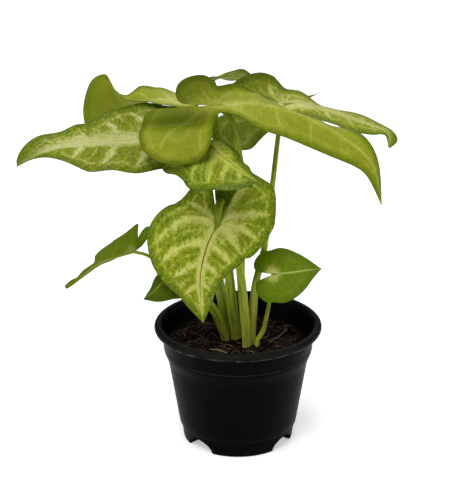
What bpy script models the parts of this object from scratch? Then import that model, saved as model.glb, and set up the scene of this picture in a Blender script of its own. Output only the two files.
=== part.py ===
"""Potted golden arrowhead vine: a nursery pot, its soil and ten leaves, each grown in one piece with its stalk.

Lengths are in millimetres up to the last step, which scales every mesh to metres.
The origin is on the pot's axis at the surface the pot stands on, +Z is up and the viewer stands on the -Y side.
"""
import math
from dataclasses import dataclass

import bmesh
import bpy
import numpy as np

MM = 0.001

# Pot: squat injection-moulded nursery pot
POT_RIM_R = 65.0
POT_HEIGHT = 96.0
POT_WALL = 1.4
POT_LIP_HEIGHT = 6.0
POT_LIP_SLOPE = 3.2
POT_COLLAR_DROP = 31.0
POT_COLLAR_R = 58.2
POT_BODY_TOP_R = 54.2
POT_STEP_Z = 12.5
POT_STEP_R = 45.7
POT_STEP_DEPTH = 1.2
POT_FOOT_R = 43.0
POT_FOOT_ROUND = 1.8
POT_STEPS = 40
POCKET_HALF_WIDTH = 12.9
POCKET_HEIGHT = 9.8
POCKET_DEPTH_R = 26.0
POCKET_ANGLES = (45.0, 146.0, 225.0, 326.0)
DRAIN_R = 3.6
DRAIN_RING_R = 33.5

# Soil: fills the pot to a little under the rim
SOIL_TOP = 80.0
SOIL_RISE = 1.6
SOIL_RINGS = 5
FIT_GAP = 0.3
HOLE_GAP = 0.6

# Leaves
BLADE_THICKNESS = 0.8
STALK_RINGS = 12
STALK_FOOT = 66.0
STALK_STRAIGHT_TOP = 84.0
KEEL_LENGTH = 14.0
VEIN_REACH = 0.10

# One half of a flat blade: x in blade lengths ahead of the stalk or lobe lengths behind it, y in half widths
MARGIN_AHEAD = ((1.0, 0.0), (0.93, 0.06), (0.80, 0.22), (0.60, 0.50), (0.38, 0.77), (0.18, 0.94), (0.0, 1.0))
LOBE_ROUND = ((-0.30, 1.0), (-0.62, 0.90), (-0.88, 0.70), (-1.0, 0.46), (-0.96, 0.28), (-0.86, 0.18))
LOBE_BLUNT = ((-0.35, 1.03), (-0.75, 1.02), (-1.0, 0.82), (-1.05, 0.50), (-1.0, 0.18), (-0.90, 0.02))


@dataclass
class Half:
    """One side of a blade: its flat size, and how far it is folded, curled and rippled.

    fold and curl are (place, degrees) stations from -1 at the lobe's end, through 0 at the stalk, to 1 at the tip.
    margin, where given, is the flat margin itself in millimetres, from the tip to the lobe's inner edge. Otherwise
    full widens the usual margin between stalk and tip, and waist narrows it where a lobe is set off from the blade.
    back is how far the lobe bends away from the upper side, in degrees.
    """
    width: float
    lobe: float
    fold: tuple
    curl: tuple
    wave: float = 1.0
    wave_count: float = 4.0
    wave_start: float = 0.0
    full: float = 0.0
    lobe_width: float = 0.0
    blunt: float = 0.0
    margin: tuple = ()
    back: float = 0.0
    waist: float = 0.0
    furrow_depth: float = 0.0
    furrow_place: float = 0.3
    furrow_breadth: float = 0.14


@dataclass
class Leaf:
    """A blade on a bent midrib, and the stalk that carries it from the soil."""
    name: str
    midrib: tuple
    up_base: tuple
    up_tip: tuple
    left: Half
    right: Half
    foot: tuple
    stalk: tuple
    foot_r: float
    neck_r: float
    colour: tuple
    rows: int = 16
    columns: int = 4
    rings: int = STALK_RINGS
    solver: str = "EXACT"


LEAVES = (
    Leaf("leaf_left_long",
         ((-41, 6, 243), (-72, 0, 242), (-118, -14, 244), (-141, -20, 241), (-162, -26, 231)),
         (0, -0.5, 0.87), (-0.2, -0.45, 0.87),
         Half(26, 27, ((-1, -15), (0, -5), (1, 0)), ((-1, -40), (0, -10), (0.6, -10), (1, 0)), 0.8, 5, 0.1,
              margin=((128, 0), (116, 1.5), (105, 6), (95, 14), (85, 21), (75, 26), (58, 26), (40, 28), (21, 26),
                      (5, 24), (-12, 21), (-24, 16), (-27, 9), (-20, 3))),
         Half(30, 17, ((-1, 0), (0, 8), (1, 16)), ((-1, 0), (0, 5), (1, 0)), 1.2, 6, 0.3,
              margin=((128, 0), (125, 6), (117, 12), (104, 14), (90, 14), (79, 17), (70, 19), (57, 26), (45, 31),
                      (30, 34), (12, 32), (-4, 25), (-14, 17), (-17, 10), (-12, 4))),
         (-9, 7), ((-14.5, 3, 120), (-25, 2, 167), (-35, 4, 211)), 3.2, 2.0, (0.45, 0.53, 0.14), 18),
    Leaf("leaf_back_left",
         ((-44, 34, 264), (-67, 40, 262.5), (-84, 43, 256), (-103, 43, 249), (-119, 41, 241)),
         (0, -0.1, 1), (-0.3, 0, 1),
         Half(31, 17, ((-1, 0), (0, 2), (0.12, 5), (0.3, 18), (0.42, 26), (0.51, 45), (0.62, 84), (1, 80)),
              ((-1, -10), (0, 0), (0.5, 10), (1, 10)), 0.8, 3, 0.1,
              margin=((79, 0), (75.5, 9), (70, 18), (61, 29), (55, 31.5), (49, 30.5), (42, 27.5), (34, 24),
                      (26, 20.5), (18, 17.5), (10, 15.5), (2, 14), (-6, 14), (-13, 12), (-17, 8), (-13, 3))),
         Half(25, 23, ((-1, -15), (0, -12), (0.3, 1), (0.44, 15), (0.55, 10), (0.72, 45), (1, 60)),
              ((-1, 0), (1, 0)), 0.8, 4, 0.3,
              margin=((79, 0), (74, 6), (66, 13), (56, 19), (44, 23), (32, 25), (18, 25), (4, 24), (-8, 22),
                      (-18, 17), (-23, 10), (-16, 3))),
         (-2.5, 13.5), ((-13, 22, 117), (-26, 37, 180), (-36, 43, 235)), 2.6, 1.7, (0.47, 0.54, 0.18)),
    Leaf("leaf_right_long",
         ((-14, -10, 273), (15, -13, 275), (45, -18, 269), (74, -24, 255), (98, -28, 234), (106, -30, 202)),
         (0, 0, 1), (0.7, -0.5, 0.5),
         Half(21, 31, ((-1, 42), (0.02, 32), (0.15, 6), (0.22, -8), (0.35, -28), (0.5, -18), (0.72, 15), (1, 0)),
              ((-1, 90), (0.03, 80), (0.16, 0), (0.3, -10), (1, -10)), 1.2, 4, 0.3, 0.25, lobe_width=24,
              blunt=0.5, waist=0.25),
         Half(23, 56, ((-1, -10), (-0.3, -10), (0.06, -6), (0.3, -15), (0.6, -35), (1, -40)),
              ((-1, -85), (-0.3, -85), (0.05, -15), (0.4, -20), (1, -16)), 1.2, 4, 0.1, 0.28,
              lobe_width=47, blunt=0.8, waist=0.50, furrow_depth=6, furrow_place=0.32),
         (6.5, 4.5), ((2.5, 7, 128), (4, 4, 195), (1, -2, 233), (-5, -8, 261)), 3.4, 2.2, (0.50, 0.58, 0.18), 18),
    Leaf("leaf_right_back",
         ((35.5, 22, 265), (47, 22, 265.5), (69, 22, 260.5), (88, 20, 254), (105, 18, 248), (113.5, 14, 243),
          (113.5, 10, 234)),
         (0, 0.1, 1), (0.35, -0.1, 0.88),
         Half(17, 42, ((-1, 36), (-0.2, 32), (0.08, 5), (0.3, -8), (1, 0)),
              ((-1, 45), (0, 40), (0.4, 0), (1, 0)), 1.2, 4, 0.3,
              margin=((94.5, 0), (90, 5), (84, 10), (76, 13), (64, 15), (48, 17), (32, 17), (16, 16), (2, 18),
                      (-8, 24), (-17, 27), (-27, 26), (-35, 22), (-41, 17), (-38, 12.5), (-33, 9.5), (-21, 5.5),
                      (-12, 2.7))),
         Half(17, 39, ((-1, -80), (-0.15, -60), (0.1, -35), (0.5, -20), (1, -10)),
              ((-1, -20), (0, -5), (1, 0)), 1.2, 4, 0.1,
              margin=((94.5, 0), (88, 2), (82, 5), (74, 11), (60, 14), (42, 17), (28, 15), (16, 11), (6, 11),
                      (-5, 16), (-13, 20), (-21, 26), (-30, 35), (-42, 37), (-53, 29), (-57.5, 17), (-50, 6), (-26, 1))),
         (10.5, -4), ((12.7, -3, 125), (20, 3, 156), (26, 12, 202), (31, 19, 245)), 3.2, 1.7, (0.52, 0.58, 0.30), 20,
         solver="MANIFOLD"),
    Leaf("leaf_back",
         ((-22, 48, 275.5), (-13, 56, 277.5), (4, 66, 274), (28, 71, 264), (49, 70, 257.5), (60, 67, 259.5),
          (64.5, 65, 263)),
         (-0.2, 0.38, 0.90), (0, 0.36, 0.93),
         Half(13, 10, ((-1, 0), (1, 0)), ((-1, 10), (1, 0)), 1.6, 4, 0.3, 0.30),
         Half(13, 10, ((-1, 0), (1, 0)), ((-1, 10), (1, 0)), 1.6, 4, 0.6, 0.30),
         (4.5, 15), ((-1, 26, 148), (-9, 37, 215), (-19, 44, 260)), 2.6, 1.6, (0.46, 0.55, 0.18)),
    Leaf("leaf_middle_front",
         ((-20, -22, 245), (-6, -36, 238), (3, -46, 234), (15, -54, 229)),
         (-0.1, -0.55, 0.83), (0.2, -0.6, 0.75),
         Half(20, 16, ((-1, -40), (0, -30), (1, -20)), ((-1, -20), (1, 0)), 0.8, 4, 0.3,
              margin=((50, 0), (46, 3.5), (40, 6.5), (33, 9), (21, 13), (12, 17), (2, 20), (-8, 20), (-15, 15),
                      (-16, 9), (-12, 3))),
         Half(36, 22, ((-1, -10), (0, 0), (1, -5)), ((-1, -20), (0, -25), (1, -10)), 0.8, 5, 0.1,
              margin=((50, 0), (47, 7), (41, 15), (34, 23), (25, 31), (14, 35), (4, 33), (-4, 33), (-13, 36),
                      (-21, 34), (-25, 26), (-24, 16), (-18, 8), (-10, 3))),
         (6.8, -11), ((3, -12, 135), (-6, -11, 198), (-15, -14.5, 228)), 3.6, 2.3, (0.45, 0.55, 0.10)),
    Leaf("leaf_front_heart",
         ((-15, -32, 188), (-23, -40, 174), (-28, -46, 150), (-26, -47, 115)),
         (0.08, -0.85, 0.5), (0, -0.95, 0.25),
         Half(40, 47, ((-1, 8), (0, 5), (1, 0)), ((-1, -25), (0, -25), (1, -10)), 0.8, 4, 0.3, back=-25,
              margin=((78.5, 0), (73, 3), (63, 8), (49, 14), (39, 19), (28, 26), (17, 31), (8, 34), (-2, 37),
                      (-12, 38), (-22, 37), (-42, 26), (-46, 14), (-45, -5), (-36, -14), (-20, -12))),
         Half(42, 26, ((-1, 8), (0, 5), (1, 0)), ((-1, -25), (0, -25), (1, -10)), 0.8, 4, 0.1, back=-10,
              margin=((78.5, 0), (73, 4), (65, 10), (55, 17), (46, 27), (37, 37), (26, 44), (16, 45), (6, 40),
                      (-5, 33), (-15, 30), (-23, 26), (-26, 20), (-20, 14), (-12, 9))),
         (-1.5, 3.5), ((-7, -7, 140), (-10.5, -17, 183), (-12, -20.5, 197), (-13, -26, 204), (-14.5, -31.5, 199)),
         4.4, 3.0, (0.47, 0.55, 0.16), 20, rings=30, solver="MANIFOLD"),
    Leaf("leaf_small_right",
         ((26, -14, 141), (40, -15, 143), (53, -15, 145), (63.5, -15, 146)),
         (0, -0.85, 0.5), (0, -0.8, 0.6),
         Half(18.5, 13.5, ((-1, 5), (0, 5), (1, 0)), ((-1, -15), (1, 0)), 0.4, 3, 0.3, 0.22),
         Half(21.5, 13.5, ((-1, 5), (0, 5), (1, 0)), ((-1, -15), (1, 0)), 0.4, 3, 0.1, 0.20),
         (15, -8), ((19.5, -8, 92), (21.5, -8.5, 101), (24, -10, 117), (25, -10.5, 130)), 2.0, 1.1,
         (0.32, 0.45, 0.08), 12, 3),
    Leaf("leaf_small_left",
         ((-78.5, -18.5, 161.5), (-90, -22, 159), (-105, -25, 154), (-129, -28, 135)),
         (-0.2, 0.95, 0.1), (-0.35, 0.85, 0.35),
         Half(24, 9, ((-1, 0), (1, 0)), ((-1, 0), (1, 0)), 0.3, 3, 0.3,
              margin=((60, 0), (58, 3.5), (52, 4), (47, 2.5), (41, 3.5), (35, 3), (30, 3), (27, 7.5),
                      (23, 10), (16, 13), (8, 15.5), (0, 18.5), (-6, 21.5), (-8, 21), (-6.5, 15), (-5.5, 9),
                      (-4.5, 5))),
         Half(14, 18, ((-1, 125), (0, 80), (0.4, 25), (1, 20)), ((-1, 0), (1, 0)), 0.3, 3, 0.1,
              margin=((60, 0), (54, 2), (40, 2.5), (30, 3.5), (21, 5), (12, 6), (4, 8), (-4, 12), (-11, 16),
                      (-17, 17), (-19, 14), (-14, 8), (-7, 3))),
         (-11, 0.8), ((-20.5, -1.5, 107), (-44, -9, 135), (-66, -16, 156)), 2.7, 1.2, (0.25, 0.35, 0.08), 16, 3),
    Leaf("leaf_lower_left",
         ((-45, -27, 146.6), (-55, -31, 142.5), (-63, -34, 135.6), (-71, -36, 129.6)),
         (-0.3, -0.6, 0.74), (-0.3, -0.6, 0.74),
         Half(17, 12, ((-1, 5), (1, 0)), ((-1, -15), (1, 0)), 0.4, 3, 0.3, 0.40),
         Half(10, 10, ((-1, 5), (1, 0)), ((-1, -15), (1, 0)), 0.4, 3, 0.1, 0.10),
         (-8.6, -4.4), ((-12.5, -7.5, 101), (-18.5, -12, 115), (-35, -22, 139)), 1.7, 0.9, (0.22, 0.34, 0.06), 12, 3),
)


# Scene and materials

def clear_scene():
    for obj in list(bpy.data.objects):
        bpy.data.objects.remove(obj)


def new_collection(name):
    collection = bpy.data.collections.new(name)
    bpy.context.scene.collection.children.link(collection)
    return collection


def new_object(name, mesh, collection):
    obj = bpy.data.objects.new(name, mesh)
    collection.objects.link(obj)
    return obj


def plain_material(name, colour, roughness):
    material = bpy.data.materials.new(name)
    material.use_nodes = True
    shader = material.node_tree.nodes["Principled BSDF"]
    shader.inputs["Base Color"].default_value = (*colour, 1.0)
    shader.inputs["Roughness"].default_value = roughness
    shader.inputs["Metallic"].default_value = 0.0
    return material


def applied_mesh(obj, name):
    """The object's mesh with its modifiers applied and its place kept."""
    bpy.context.view_layer.update()
    evaluated = obj.evaluated_get(bpy.context.evaluated_depsgraph_get())
    mesh = bpy.data.meshes.new_from_object(evaluated)
    mesh.name = name
    mesh.transform(obj.matrix_world)
    return mesh


def boolean(obj, other, operation, solver):
    modifier = obj.modifiers.new(operation.lower(), "BOOLEAN")
    modifier.operation = operation
    modifier.object = other
    modifier.solver = solver


def joined(obj, others, operation, collection, solver="EXACT"):
    """obj with the others united to it or cut from it, as one applied object; the others are removed."""
    for other in others:
        boolean(obj, other, operation, solver)
    name = obj.name
    mesh = applied_mesh(obj, name)
    for old in (obj, *others):
        bpy.data.objects.remove(old)
    return new_object(name, mesh, collection)


# Turned shapes

def turned(name, profile, collection, steps=POT_STEPS):
    """A solid of revolution from a closed (radius, height) profile that runs down its outer side."""
    mesh = bpy.data.meshes.new(name)
    shape = bmesh.new()
    corners = [shape.verts.new((radius, 0.0, height)) for radius, height in profile]
    for first, second in zip(corners[:-1], corners[1:]):
        shape.edges.new((first, second))
    if profile[0][0] > 0.0:
        shape.edges.new((corners[-1], corners[0]))
    shape.to_mesh(mesh)
    shape.free()
    obj = new_object(name, mesh, collection)
    screw = obj.modifiers.new("turn", "SCREW")
    screw.steps = steps
    screw.render_steps = steps
    screw.use_merge_vertices = True
    screw.merge_threshold = 0.0001
    return obj


def pot_outer_radius(height):
    """Outer radius of the pot's wall below the collar."""
    top = POT_HEIGHT - POT_COLLAR_DROP
    share = (height - POT_STEP_Z) / (top - POT_STEP_Z)
    return POT_STEP_R + (POT_BODY_TOP_R - POT_STEP_R) * share


def pot_inner_radius(height):
    """Inner radius of the pot's wall, which steps out under the rim."""
    if height <= POT_STEP_Z:
        return POT_FOOT_R - POT_WALL + (POT_STEP_R - POT_STEP_DEPTH - POT_FOOT_R) * height / POT_STEP_Z
    if height <= POT_HEIGHT - POT_COLLAR_DROP:
        return pot_outer_radius(height) - POT_WALL
    share = (height - POT_HEIGHT + POT_COLLAR_DROP) / (POT_COLLAR_DROP - POT_LIP_HEIGHT)
    return POT_BODY_TOP_R - POT_WALL + (POT_COLLAR_R - POT_BODY_TOP_R) * min(1.0, share)


def pot_outer_profile():
    """Outer skin from the rim's crown down to the foot and in to the axis."""
    lip_r = POT_LIP_HEIGHT / 2
    crown = [(POT_RIM_R - lip_r + lip_r * math.sin(math.radians(a)),
              POT_HEIGHT - lip_r + lip_r * math.cos(math.radians(a))) for a in range(0, 181, 30)]
    under_lip = POT_HEIGHT - POT_LIP_HEIGHT - 0.6
    collar_z = POT_HEIGHT - POT_COLLAR_DROP
    points = [(0.0, POT_HEIGHT), *crown]
    points += [(POT_COLLAR_R + 0.9, under_lip), (POT_COLLAR_R, under_lip - 1.6)]
    points += [(POT_COLLAR_R - 0.4, collar_z + 10.0), (POT_COLLAR_R - 2.4, collar_z + 5.0)]
    points += [(POT_COLLAR_R - 3.5, collar_z + 1.0), (POT_BODY_TOP_R, collar_z)]
    points += [(pot_outer_radius(z), z) for z in (50.0, 30.0, POT_STEP_Z + 1.2)]
    points += [(POT_STEP_R - POT_STEP_DEPTH, POT_STEP_Z), (POT_FOOT_R, POT_FOOT_ROUND)]
    points += [(POT_FOOT_R - 0.5, 0.5), (POT_FOOT_R - POT_FOOT_ROUND, 0.0), (0.0, 0.0)]
    return points


def inner_profile(top, inset, floor):
    """The pot's inside, less an inset, from a height down to a floor; the lip slopes in where it is reached."""
    heights = [z for z in (POT_HEIGHT - POT_LIP_HEIGHT, POT_HEIGHT - POT_COLLAR_DROP, 50.0, 30.0, POT_STEP_Z)
               if z < top]
    points = [(0.0, top), (pot_inner_radius(top) - inset, top)]
    if top > POT_HEIGHT:
        mouth_r = pot_inner_radius(top) + POT_LIP_SLOPE
        points = [(0.0, top), (mouth_r, top), (mouth_r, POT_HEIGHT - 0.8)]
    points += [(pot_inner_radius(z) - inset, z) for z in heights]
    points += [(pot_inner_radius(floor) - inset, floor), (0.0, floor)]
    return points


def pocket(name, angle, spare, start, collection):
    """A lying half oval, from inside the base out past the foot: the dent under one drain hole, plus a spare wall."""
    reach = POT_FOOT_R + 8.0
    mesh = bpy.data.meshes.new(name)
    shape = bmesh.new()
    bmesh.ops.create_cone(shape, cap_ends=True, segments=20, radius1=1.0, radius2=1.0, depth=reach - start)
    shape.to_mesh(mesh)
    shape.free()
    obj = new_object(name, mesh, collection)
    obj.scale = (POCKET_HEIGHT + spare, POCKET_HALF_WIDTH + spare, 1.0)
    obj.rotation_euler = (0.0, math.radians(90.0), math.radians(angle))
    middle = (start + reach) / 2
    obj.location = (middle * math.cos(math.radians(angle)), middle * math.sin(math.radians(angle)), 0.0)
    return obj


def cylinder(name, x, y, bottom, top, radius, collection, segments=12):
    mesh = bpy.data.meshes.new(name)
    shape = bmesh.new()
    bmesh.ops.create_cone(shape, cap_ends=True, segments=segments, radius1=radius, radius2=radius,
                          depth=top - bottom)
    shape.to_mesh(mesh)
    shape.free()
    obj = new_object(name, mesh, collection)
    obj.location = (x, y, (top + bottom) / 2)
    return obj


def ring_place(radius, angle):
    return radius * math.cos(math.radians(angle)), radius * math.sin(math.radians(angle))


def build_pot(parts, cutters):
    """Turned outside, less the dents under it, less an inside that keeps a wall round each dent."""
    hollow = turned("pot_inside", inner_profile(POT_HEIGHT + 2.0, 0.0, POT_WALL), cutters)
    walls = [pocket(f"pocket_wall_{k}", a, POT_WALL, POCKET_DEPTH_R - POT_WALL, cutters)
             for k, a in enumerate(POCKET_ANGLES)]
    hollow = joined(hollow, walls, "DIFFERENCE", cutters)
    dents = [pocket(f"pocket_{k}", a, 0.0, POCKET_DEPTH_R, cutters) for k, a in enumerate(POCKET_ANGLES)]
    drains = [cylinder(f"drain_{k}", *ring_place(DRAIN_RING_R, a), 5.0, 16.0, DRAIN_R, cutters)
              for k, a in enumerate(POCKET_ANGLES)]
    pot = turned("pot", pot_outer_profile(), parts)
    pot = joined(pot, [*dents, hollow, *drains], "DIFFERENCE", parts)
    pot.data.materials.clear()
    pot.data.materials.append(plain_material("pot", (0.012, 0.012, 0.012), 0.45))
    return pot


def soil_height(x, y):
    """Height of the soil's uneven top: higher at the left and round the stalks, lower at the right and back."""
    rolls = 0.6 * math.sin(0.11 * x + 0.7) * math.cos(0.13 * y - 0.4) + 0.35 * math.sin(0.23 * (x - y))
    tilt = -0.022 * x - 0.012 * y
    mound = 1.3 * math.exp(-(x * x + y * y) / 900.0)
    return SOIL_TOP + SOIL_RISE * 0.6 * rolls + tilt + mound


def build_soil(parts, cutters):
    """The root ball: the pot's inside less a small gap, with a plain hole for every stalk."""
    profile = inner_profile(SOIL_TOP - 3.0, FIT_GAP, POT_WALL + FIT_GAP)
    top_r = profile[1][0]
    rings = [(top_r * k / SOIL_RINGS, SOIL_TOP) for k in range(SOIL_RINGS + 1)]
    soil = turned("soil", [*rings, *profile[1:]], parts)
    mesh = applied_mesh(soil, "soil")
    bpy.data.objects.remove(soil)
    for vertex in mesh.vertices:
        if vertex.co.z > SOIL_TOP - 0.01:
            vertex.co.z = soil_height(vertex.co.x, vertex.co.y)
    shape = bmesh.new()
    shape.from_mesh(mesh)
    bmesh.ops.triangulate(shape, faces=shape.faces)
    shape.to_mesh(mesh)
    shape.free()
    soil = new_object("soil", mesh, parts)
    walls = [pocket(f"soil_pocket_{k}", a, POT_WALL + FIT_GAP, POCKET_DEPTH_R - POT_WALL - FIT_GAP, cutters)
             for k, a in enumerate(POCKET_ANGLES)]
    holes = [cylinder(f"hole_{leaf.name}", *leaf.foot, STALK_FOOT - FIT_GAP, SOIL_TOP + 12.0,
                      leaf.foot_r + HOLE_GAP, cutters, 10) for leaf in LEAVES]
    soil = joined(soil, [*walls, *holes], "DIFFERENCE", parts)
    soil.data.materials.clear()
    soil.data.materials.append(plain_material("soil", (0.030, 0.017, 0.012), 0.95))
    return soil


# Leaves

def unit(vector):
    vector = np.asarray(vector, float)
    return vector / np.linalg.norm(vector)


def smooth_path(points, count):
    """A curve through the points, read at equal steps of its length."""
    p = np.asarray(points, float)
    padded = np.vstack([2 * p[0] - p[1], p, 2 * p[-1] - p[-2]])
    fine = []
    for a, b, c, d in zip(padded[:-3], padded[1:-2], padded[2:-1], padded[3:]):
        for t in np.linspace(0, 1, 24, endpoint=False):
            fine.append(0.5 * (2 * b + (c - a) * t + (2 * a - 5 * b + 4 * c - d) * t ** 2
                               + (3 * b - a - 3 * c + d) * t ** 3))
    fine.append(p[-1])
    fine = np.array(fine)
    run = np.concatenate([[0.0], np.cumsum(np.linalg.norm(np.diff(fine, axis=0), axis=1))])
    steps = np.linspace(0, run[-1], count)
    return np.stack([np.interp(steps, run, fine[:, k]) for k in range(fine.shape[1])], axis=1)


def path_length(path):
    return float(np.linalg.norm(np.diff(path, axis=0), axis=1).sum())


def eased(stations, place):
    """Value at a place between (place, value) stations, level at each station."""
    places = [station[0] for station in stations]
    place = min(max(place, places[0]), places[-1])
    after = next(k for k in range(1, len(places)) if place <= places[k])
    (x0, v0), (x1, v1) = stations[after - 1], stations[after]
    t = (place - x0) / (x1 - x0)
    return v0 + (v1 - v0) * t * t * (3 - 2 * t)


def flat_margin(length, half, count):
    """Margin of one half laid flat, from the tip to the end of the lobe's inner edge."""
    if half.margin:
        return smooth_path(half.margin, count)
    wide = half.lobe_width or half.width
    points = []
    for x, y in MARGIN_AHEAD:
        y = (y + half.full * 4 * x * (1 - x)) * (1 - half.waist * (1 - x) ** 12)
        points.append((x * length, y * half.width))
    if half.waist:
        points.insert(-1, (0.09 * length, (1 - 0.55 * half.waist) * half.width))
        points.append((-0.07 * half.lobe, 0.80 * wide))
    for (rx, ry), (bx, by) in zip(LOBE_ROUND, LOBE_BLUNT):
        points.append(((rx + (bx - rx) * half.blunt) * half.lobe, (ry + (by - ry) * half.blunt) * wide))
    return smooth_path(points, count)


def vein_share(length, half):
    """Share of the margin, from the tip, that is served by veins leaving the midrib."""
    ahead = flat_margin(length, half, 201)[:, 0] > VEIN_REACH * length
    return float(ahead.sum()) / 200


def flat_vein_point(length, margin_point, q, r, served):
    """Point at share r of the vein that ends at margin place q, laid flat."""
    start = np.array([length * max(0.0, 1 - q / served), 0.0])
    point = start + (margin_point - start) * r
    sweep = 1.0 if q < served else max(0.0, 1 - (q - served) / 0.25)
    point[0] -= 0.10 * np.linalg.norm(margin_point - start) * 4 * r * (1 - r) * sweep
    return point


def blade_frame(leaf, spine, place):
    """Centre, tangent and upward normal of the midrib at a place from 0 at the stalk to 1 at the tip."""
    run = min(max(place, 0.0), 1.0) * (len(spine) - 1)
    k = min(int(run), len(spine) - 2)
    centre = spine[k] + (spine[k + 1] - spine[k]) * (run - k)
    tangent = unit(spine[min(k + 2, len(spine) - 1)] - spine[max(k - 1, 0)])
    share = max(place, 0.0)
    up = unit(leaf.up_base) * (1 - share) + unit(leaf.up_tip) * share
    return centre, tangent, unit(up - tangent * np.dot(up, tangent))


def blade_point(leaf, spine, length, half, sign, flat, q, r):
    """Place in space of a flat point of one half of the blade."""
    x, y = flat
    centre, tangent, up = blade_frame(leaf, spine, x / length)
    side = np.cross(up, tangent) * sign
    if x < 0 and half.back:
        bend = math.radians(half.back) * -x / half.lobe
        radius = half.lobe / math.radians(half.back)
        centre = spine[0] - tangent * radius * math.sin(bend) - up * radius * (1 - math.cos(bend))
        up = up * math.cos(bend) - tangent * math.sin(bend)
    elif x < 0:
        centre = spine[0] + tangent * x
    place = x / length if x > 0 else x / half.lobe
    start = math.radians(eased(half.fold, place))
    wide = half.width
    if half.lobe_width and x < 0:
        wide += (half.lobe_width - half.width) * min(1.0, -4 * place)
    turn = math.radians(eased(half.curl, place)) / wide
    if abs(turn) < 1e-6:
        out, rise = y * math.cos(start), y * math.sin(start)
    else:
        out = (math.sin(start + turn * y) - math.sin(start)) / turn
        rise = (math.cos(start) - math.cos(start + turn * y)) / turn
    normal = up * math.cos(start + turn * y) - side * math.sin(start + turn * y)
    ripple = half.wave * r ** 2 * math.sin(2 * math.pi * (half.wave_count * q + half.wave_start)) * min(1.0, 6 * q)
    if half.furrow_depth and x < 0.1 * length:
        across = (y / (half.lobe_width or half.width) - half.furrow_place) / half.furrow_breadth
        along = min(1.0, (0.1 * length - x) / (0.1 * length + 12.0))
        ripple -= half.furrow_depth * math.exp(-across ** 2) * along
    return centre + side * out + up * rise + normal * ripple


def blade_sheet(leaf, rows, columns):
    """The blade's middle surface: a grid whose rows are veins, closed at the tip and at the stalk."""
    spine = smooth_path(leaf.midrib, 60)
    length = path_length(spine)
    shape = bmesh.new()
    bmesh.ops.create_grid(shape, x_segments=2 * columns, y_segments=rows, size=1.0)
    halves = {1: leaf.left, -1: leaf.right}
    margins = {sign: flat_margin(length, half, rows + 1) for sign, half in halves.items()}
    served = {sign: vein_share(length, half) for sign, half in halves.items()}
    for vertex in shape.verts:
        column = round(vertex.co.x * columns)
        row = round((1 - vertex.co.y) / 2 * rows)
        sign = 1 if column > 0 else -1
        q, r = row / rows, abs(column) / columns
        flat = flat_vein_point(length, margins[sign][row], q, r, served[sign])
        vertex.co = blade_point(leaf, spine, length, halves[sign], sign, flat, q, r)
    bmesh.ops.remove_doubles(shape, verts=shape.verts, dist=0.001)
    bmesh.ops.triangulate(shape, faces=shape.faces)
    mesh = bpy.data.meshes.new(leaf.name)
    shape.to_mesh(mesh)
    shape.free()
    return mesh


def stalk_path(leaf):
    """Centre line and radii of a stalk, from its foot in the soil to a short keel under the midrib."""
    spine = smooth_path(leaf.midrib, 60)
    length = path_length(spine)
    start, tangent, up = blade_frame(leaf, spine, 0.0)
    x, y = leaf.foot
    rising = [(x, y, STALK_STRAIGHT_TOP), *leaf.stalk, start - up * leaf.neck_r * 0.55]
    path = [np.array((x, y, STALK_FOOT)), *smooth_path(rising, leaf.rings)]
    radii = [leaf.foot_r, leaf.foot_r]
    radii += [leaf.foot_r + (leaf.neck_r - leaf.foot_r) * (k / (leaf.rings - 1)) ** 0.7
              for k in range(1, leaf.rings)]
    for share in (0.5, 1.0):
        centre, _, over = blade_frame(leaf, spine, share * KEEL_LENGTH / length)
        radius = leaf.neck_r * (1 - 0.65 * share)
        path.append(centre - over * radius * 0.55)
        radii.append(radius)
    return path, radii


def stalk_tube(leaf, collection):
    """The stalk as a closed mesh tube."""
    path, radii = stalk_path(leaf)
    curve = bpy.data.curves.new(leaf.name + "_stalk", "CURVE")
    curve.dimensions = "3D"
    curve.bevel_depth = 1.0
    curve.bevel_resolution = 2
    curve.use_fill_caps = True
    spline = curve.splines.new("POLY")
    spline.points.add(len(path) - 1)
    for point, place, radius in zip(spline.points, path, radii):
        point.co = (*place, 1.0)
        point.radius = radius
    holder = new_object(curve.name, curve, collection)
    mesh = applied_mesh(holder, curve.name)
    bpy.data.objects.remove(holder)
    shape = bmesh.new()
    shape.from_mesh(mesh)
    bmesh.ops.remove_doubles(shape, verts=shape.verts, dist=0.0001)
    bmesh.ops.triangulate(shape, faces=shape.faces)
    shape.to_mesh(mesh)
    shape.free()
    return new_object(curve.name, mesh, collection)


def build_leaf(leaf, parts, cutters):
    """Blade and stalk, thickened and united: they grew as one piece."""
    blade = new_object(leaf.name, blade_sheet(leaf, leaf.rows, leaf.columns), parts)
    solidify = blade.modifiers.new("thickness", "SOLIDIFY")
    solidify.thickness = BLADE_THICKNESS
    solidify.offset = 0.0
    blade = joined(blade, [], "UNION", parts)
    blade = joined(blade, [stalk_tube(leaf, cutters)], "UNION", parts, leaf.solver)
    blade.data.materials.clear()
    blade.data.materials.append(plain_material(leaf.name, leaf.colour, 0.45))
    return blade


def to_metres(parts):
    for obj in parts.objects:
        obj.data.transform(obj.matrix_world)
        obj.matrix_world.identity()
        for vertex in obj.data.vertices:
            vertex.co *= MM
        obj.data.shade_smooth()
        obj.data.set_sharp_from_angle(angle=math.radians(40.0))


def main():
    clear_scene()
    parts = new_collection("potted_arrowhead_vine")
    cutters = new_collection("cutters")
    build_pot(parts, cutters)
    build_soil(parts, cutters)
    for leaf in LEAVES:
        build_leaf(leaf, parts, cutters)
    to_metres(parts)


main()
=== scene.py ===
"""Potted golden arrowhead vine, dressed: a nursery pot, potting mix and ten leaves, each with its stalk.

Shapes are worked out in millimetres and made metres when their mesh is finished. The origin is on the pot's
axis at the surface it stands on, +Z is up and the viewer of the photograph stands on the -Y side.
"""
import logging
import math
import random
from dataclasses import dataclass, field
from enum import Enum

import bmesh
import bpy
import numpy as np
from mathutils import Matrix, Vector, noise


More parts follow.
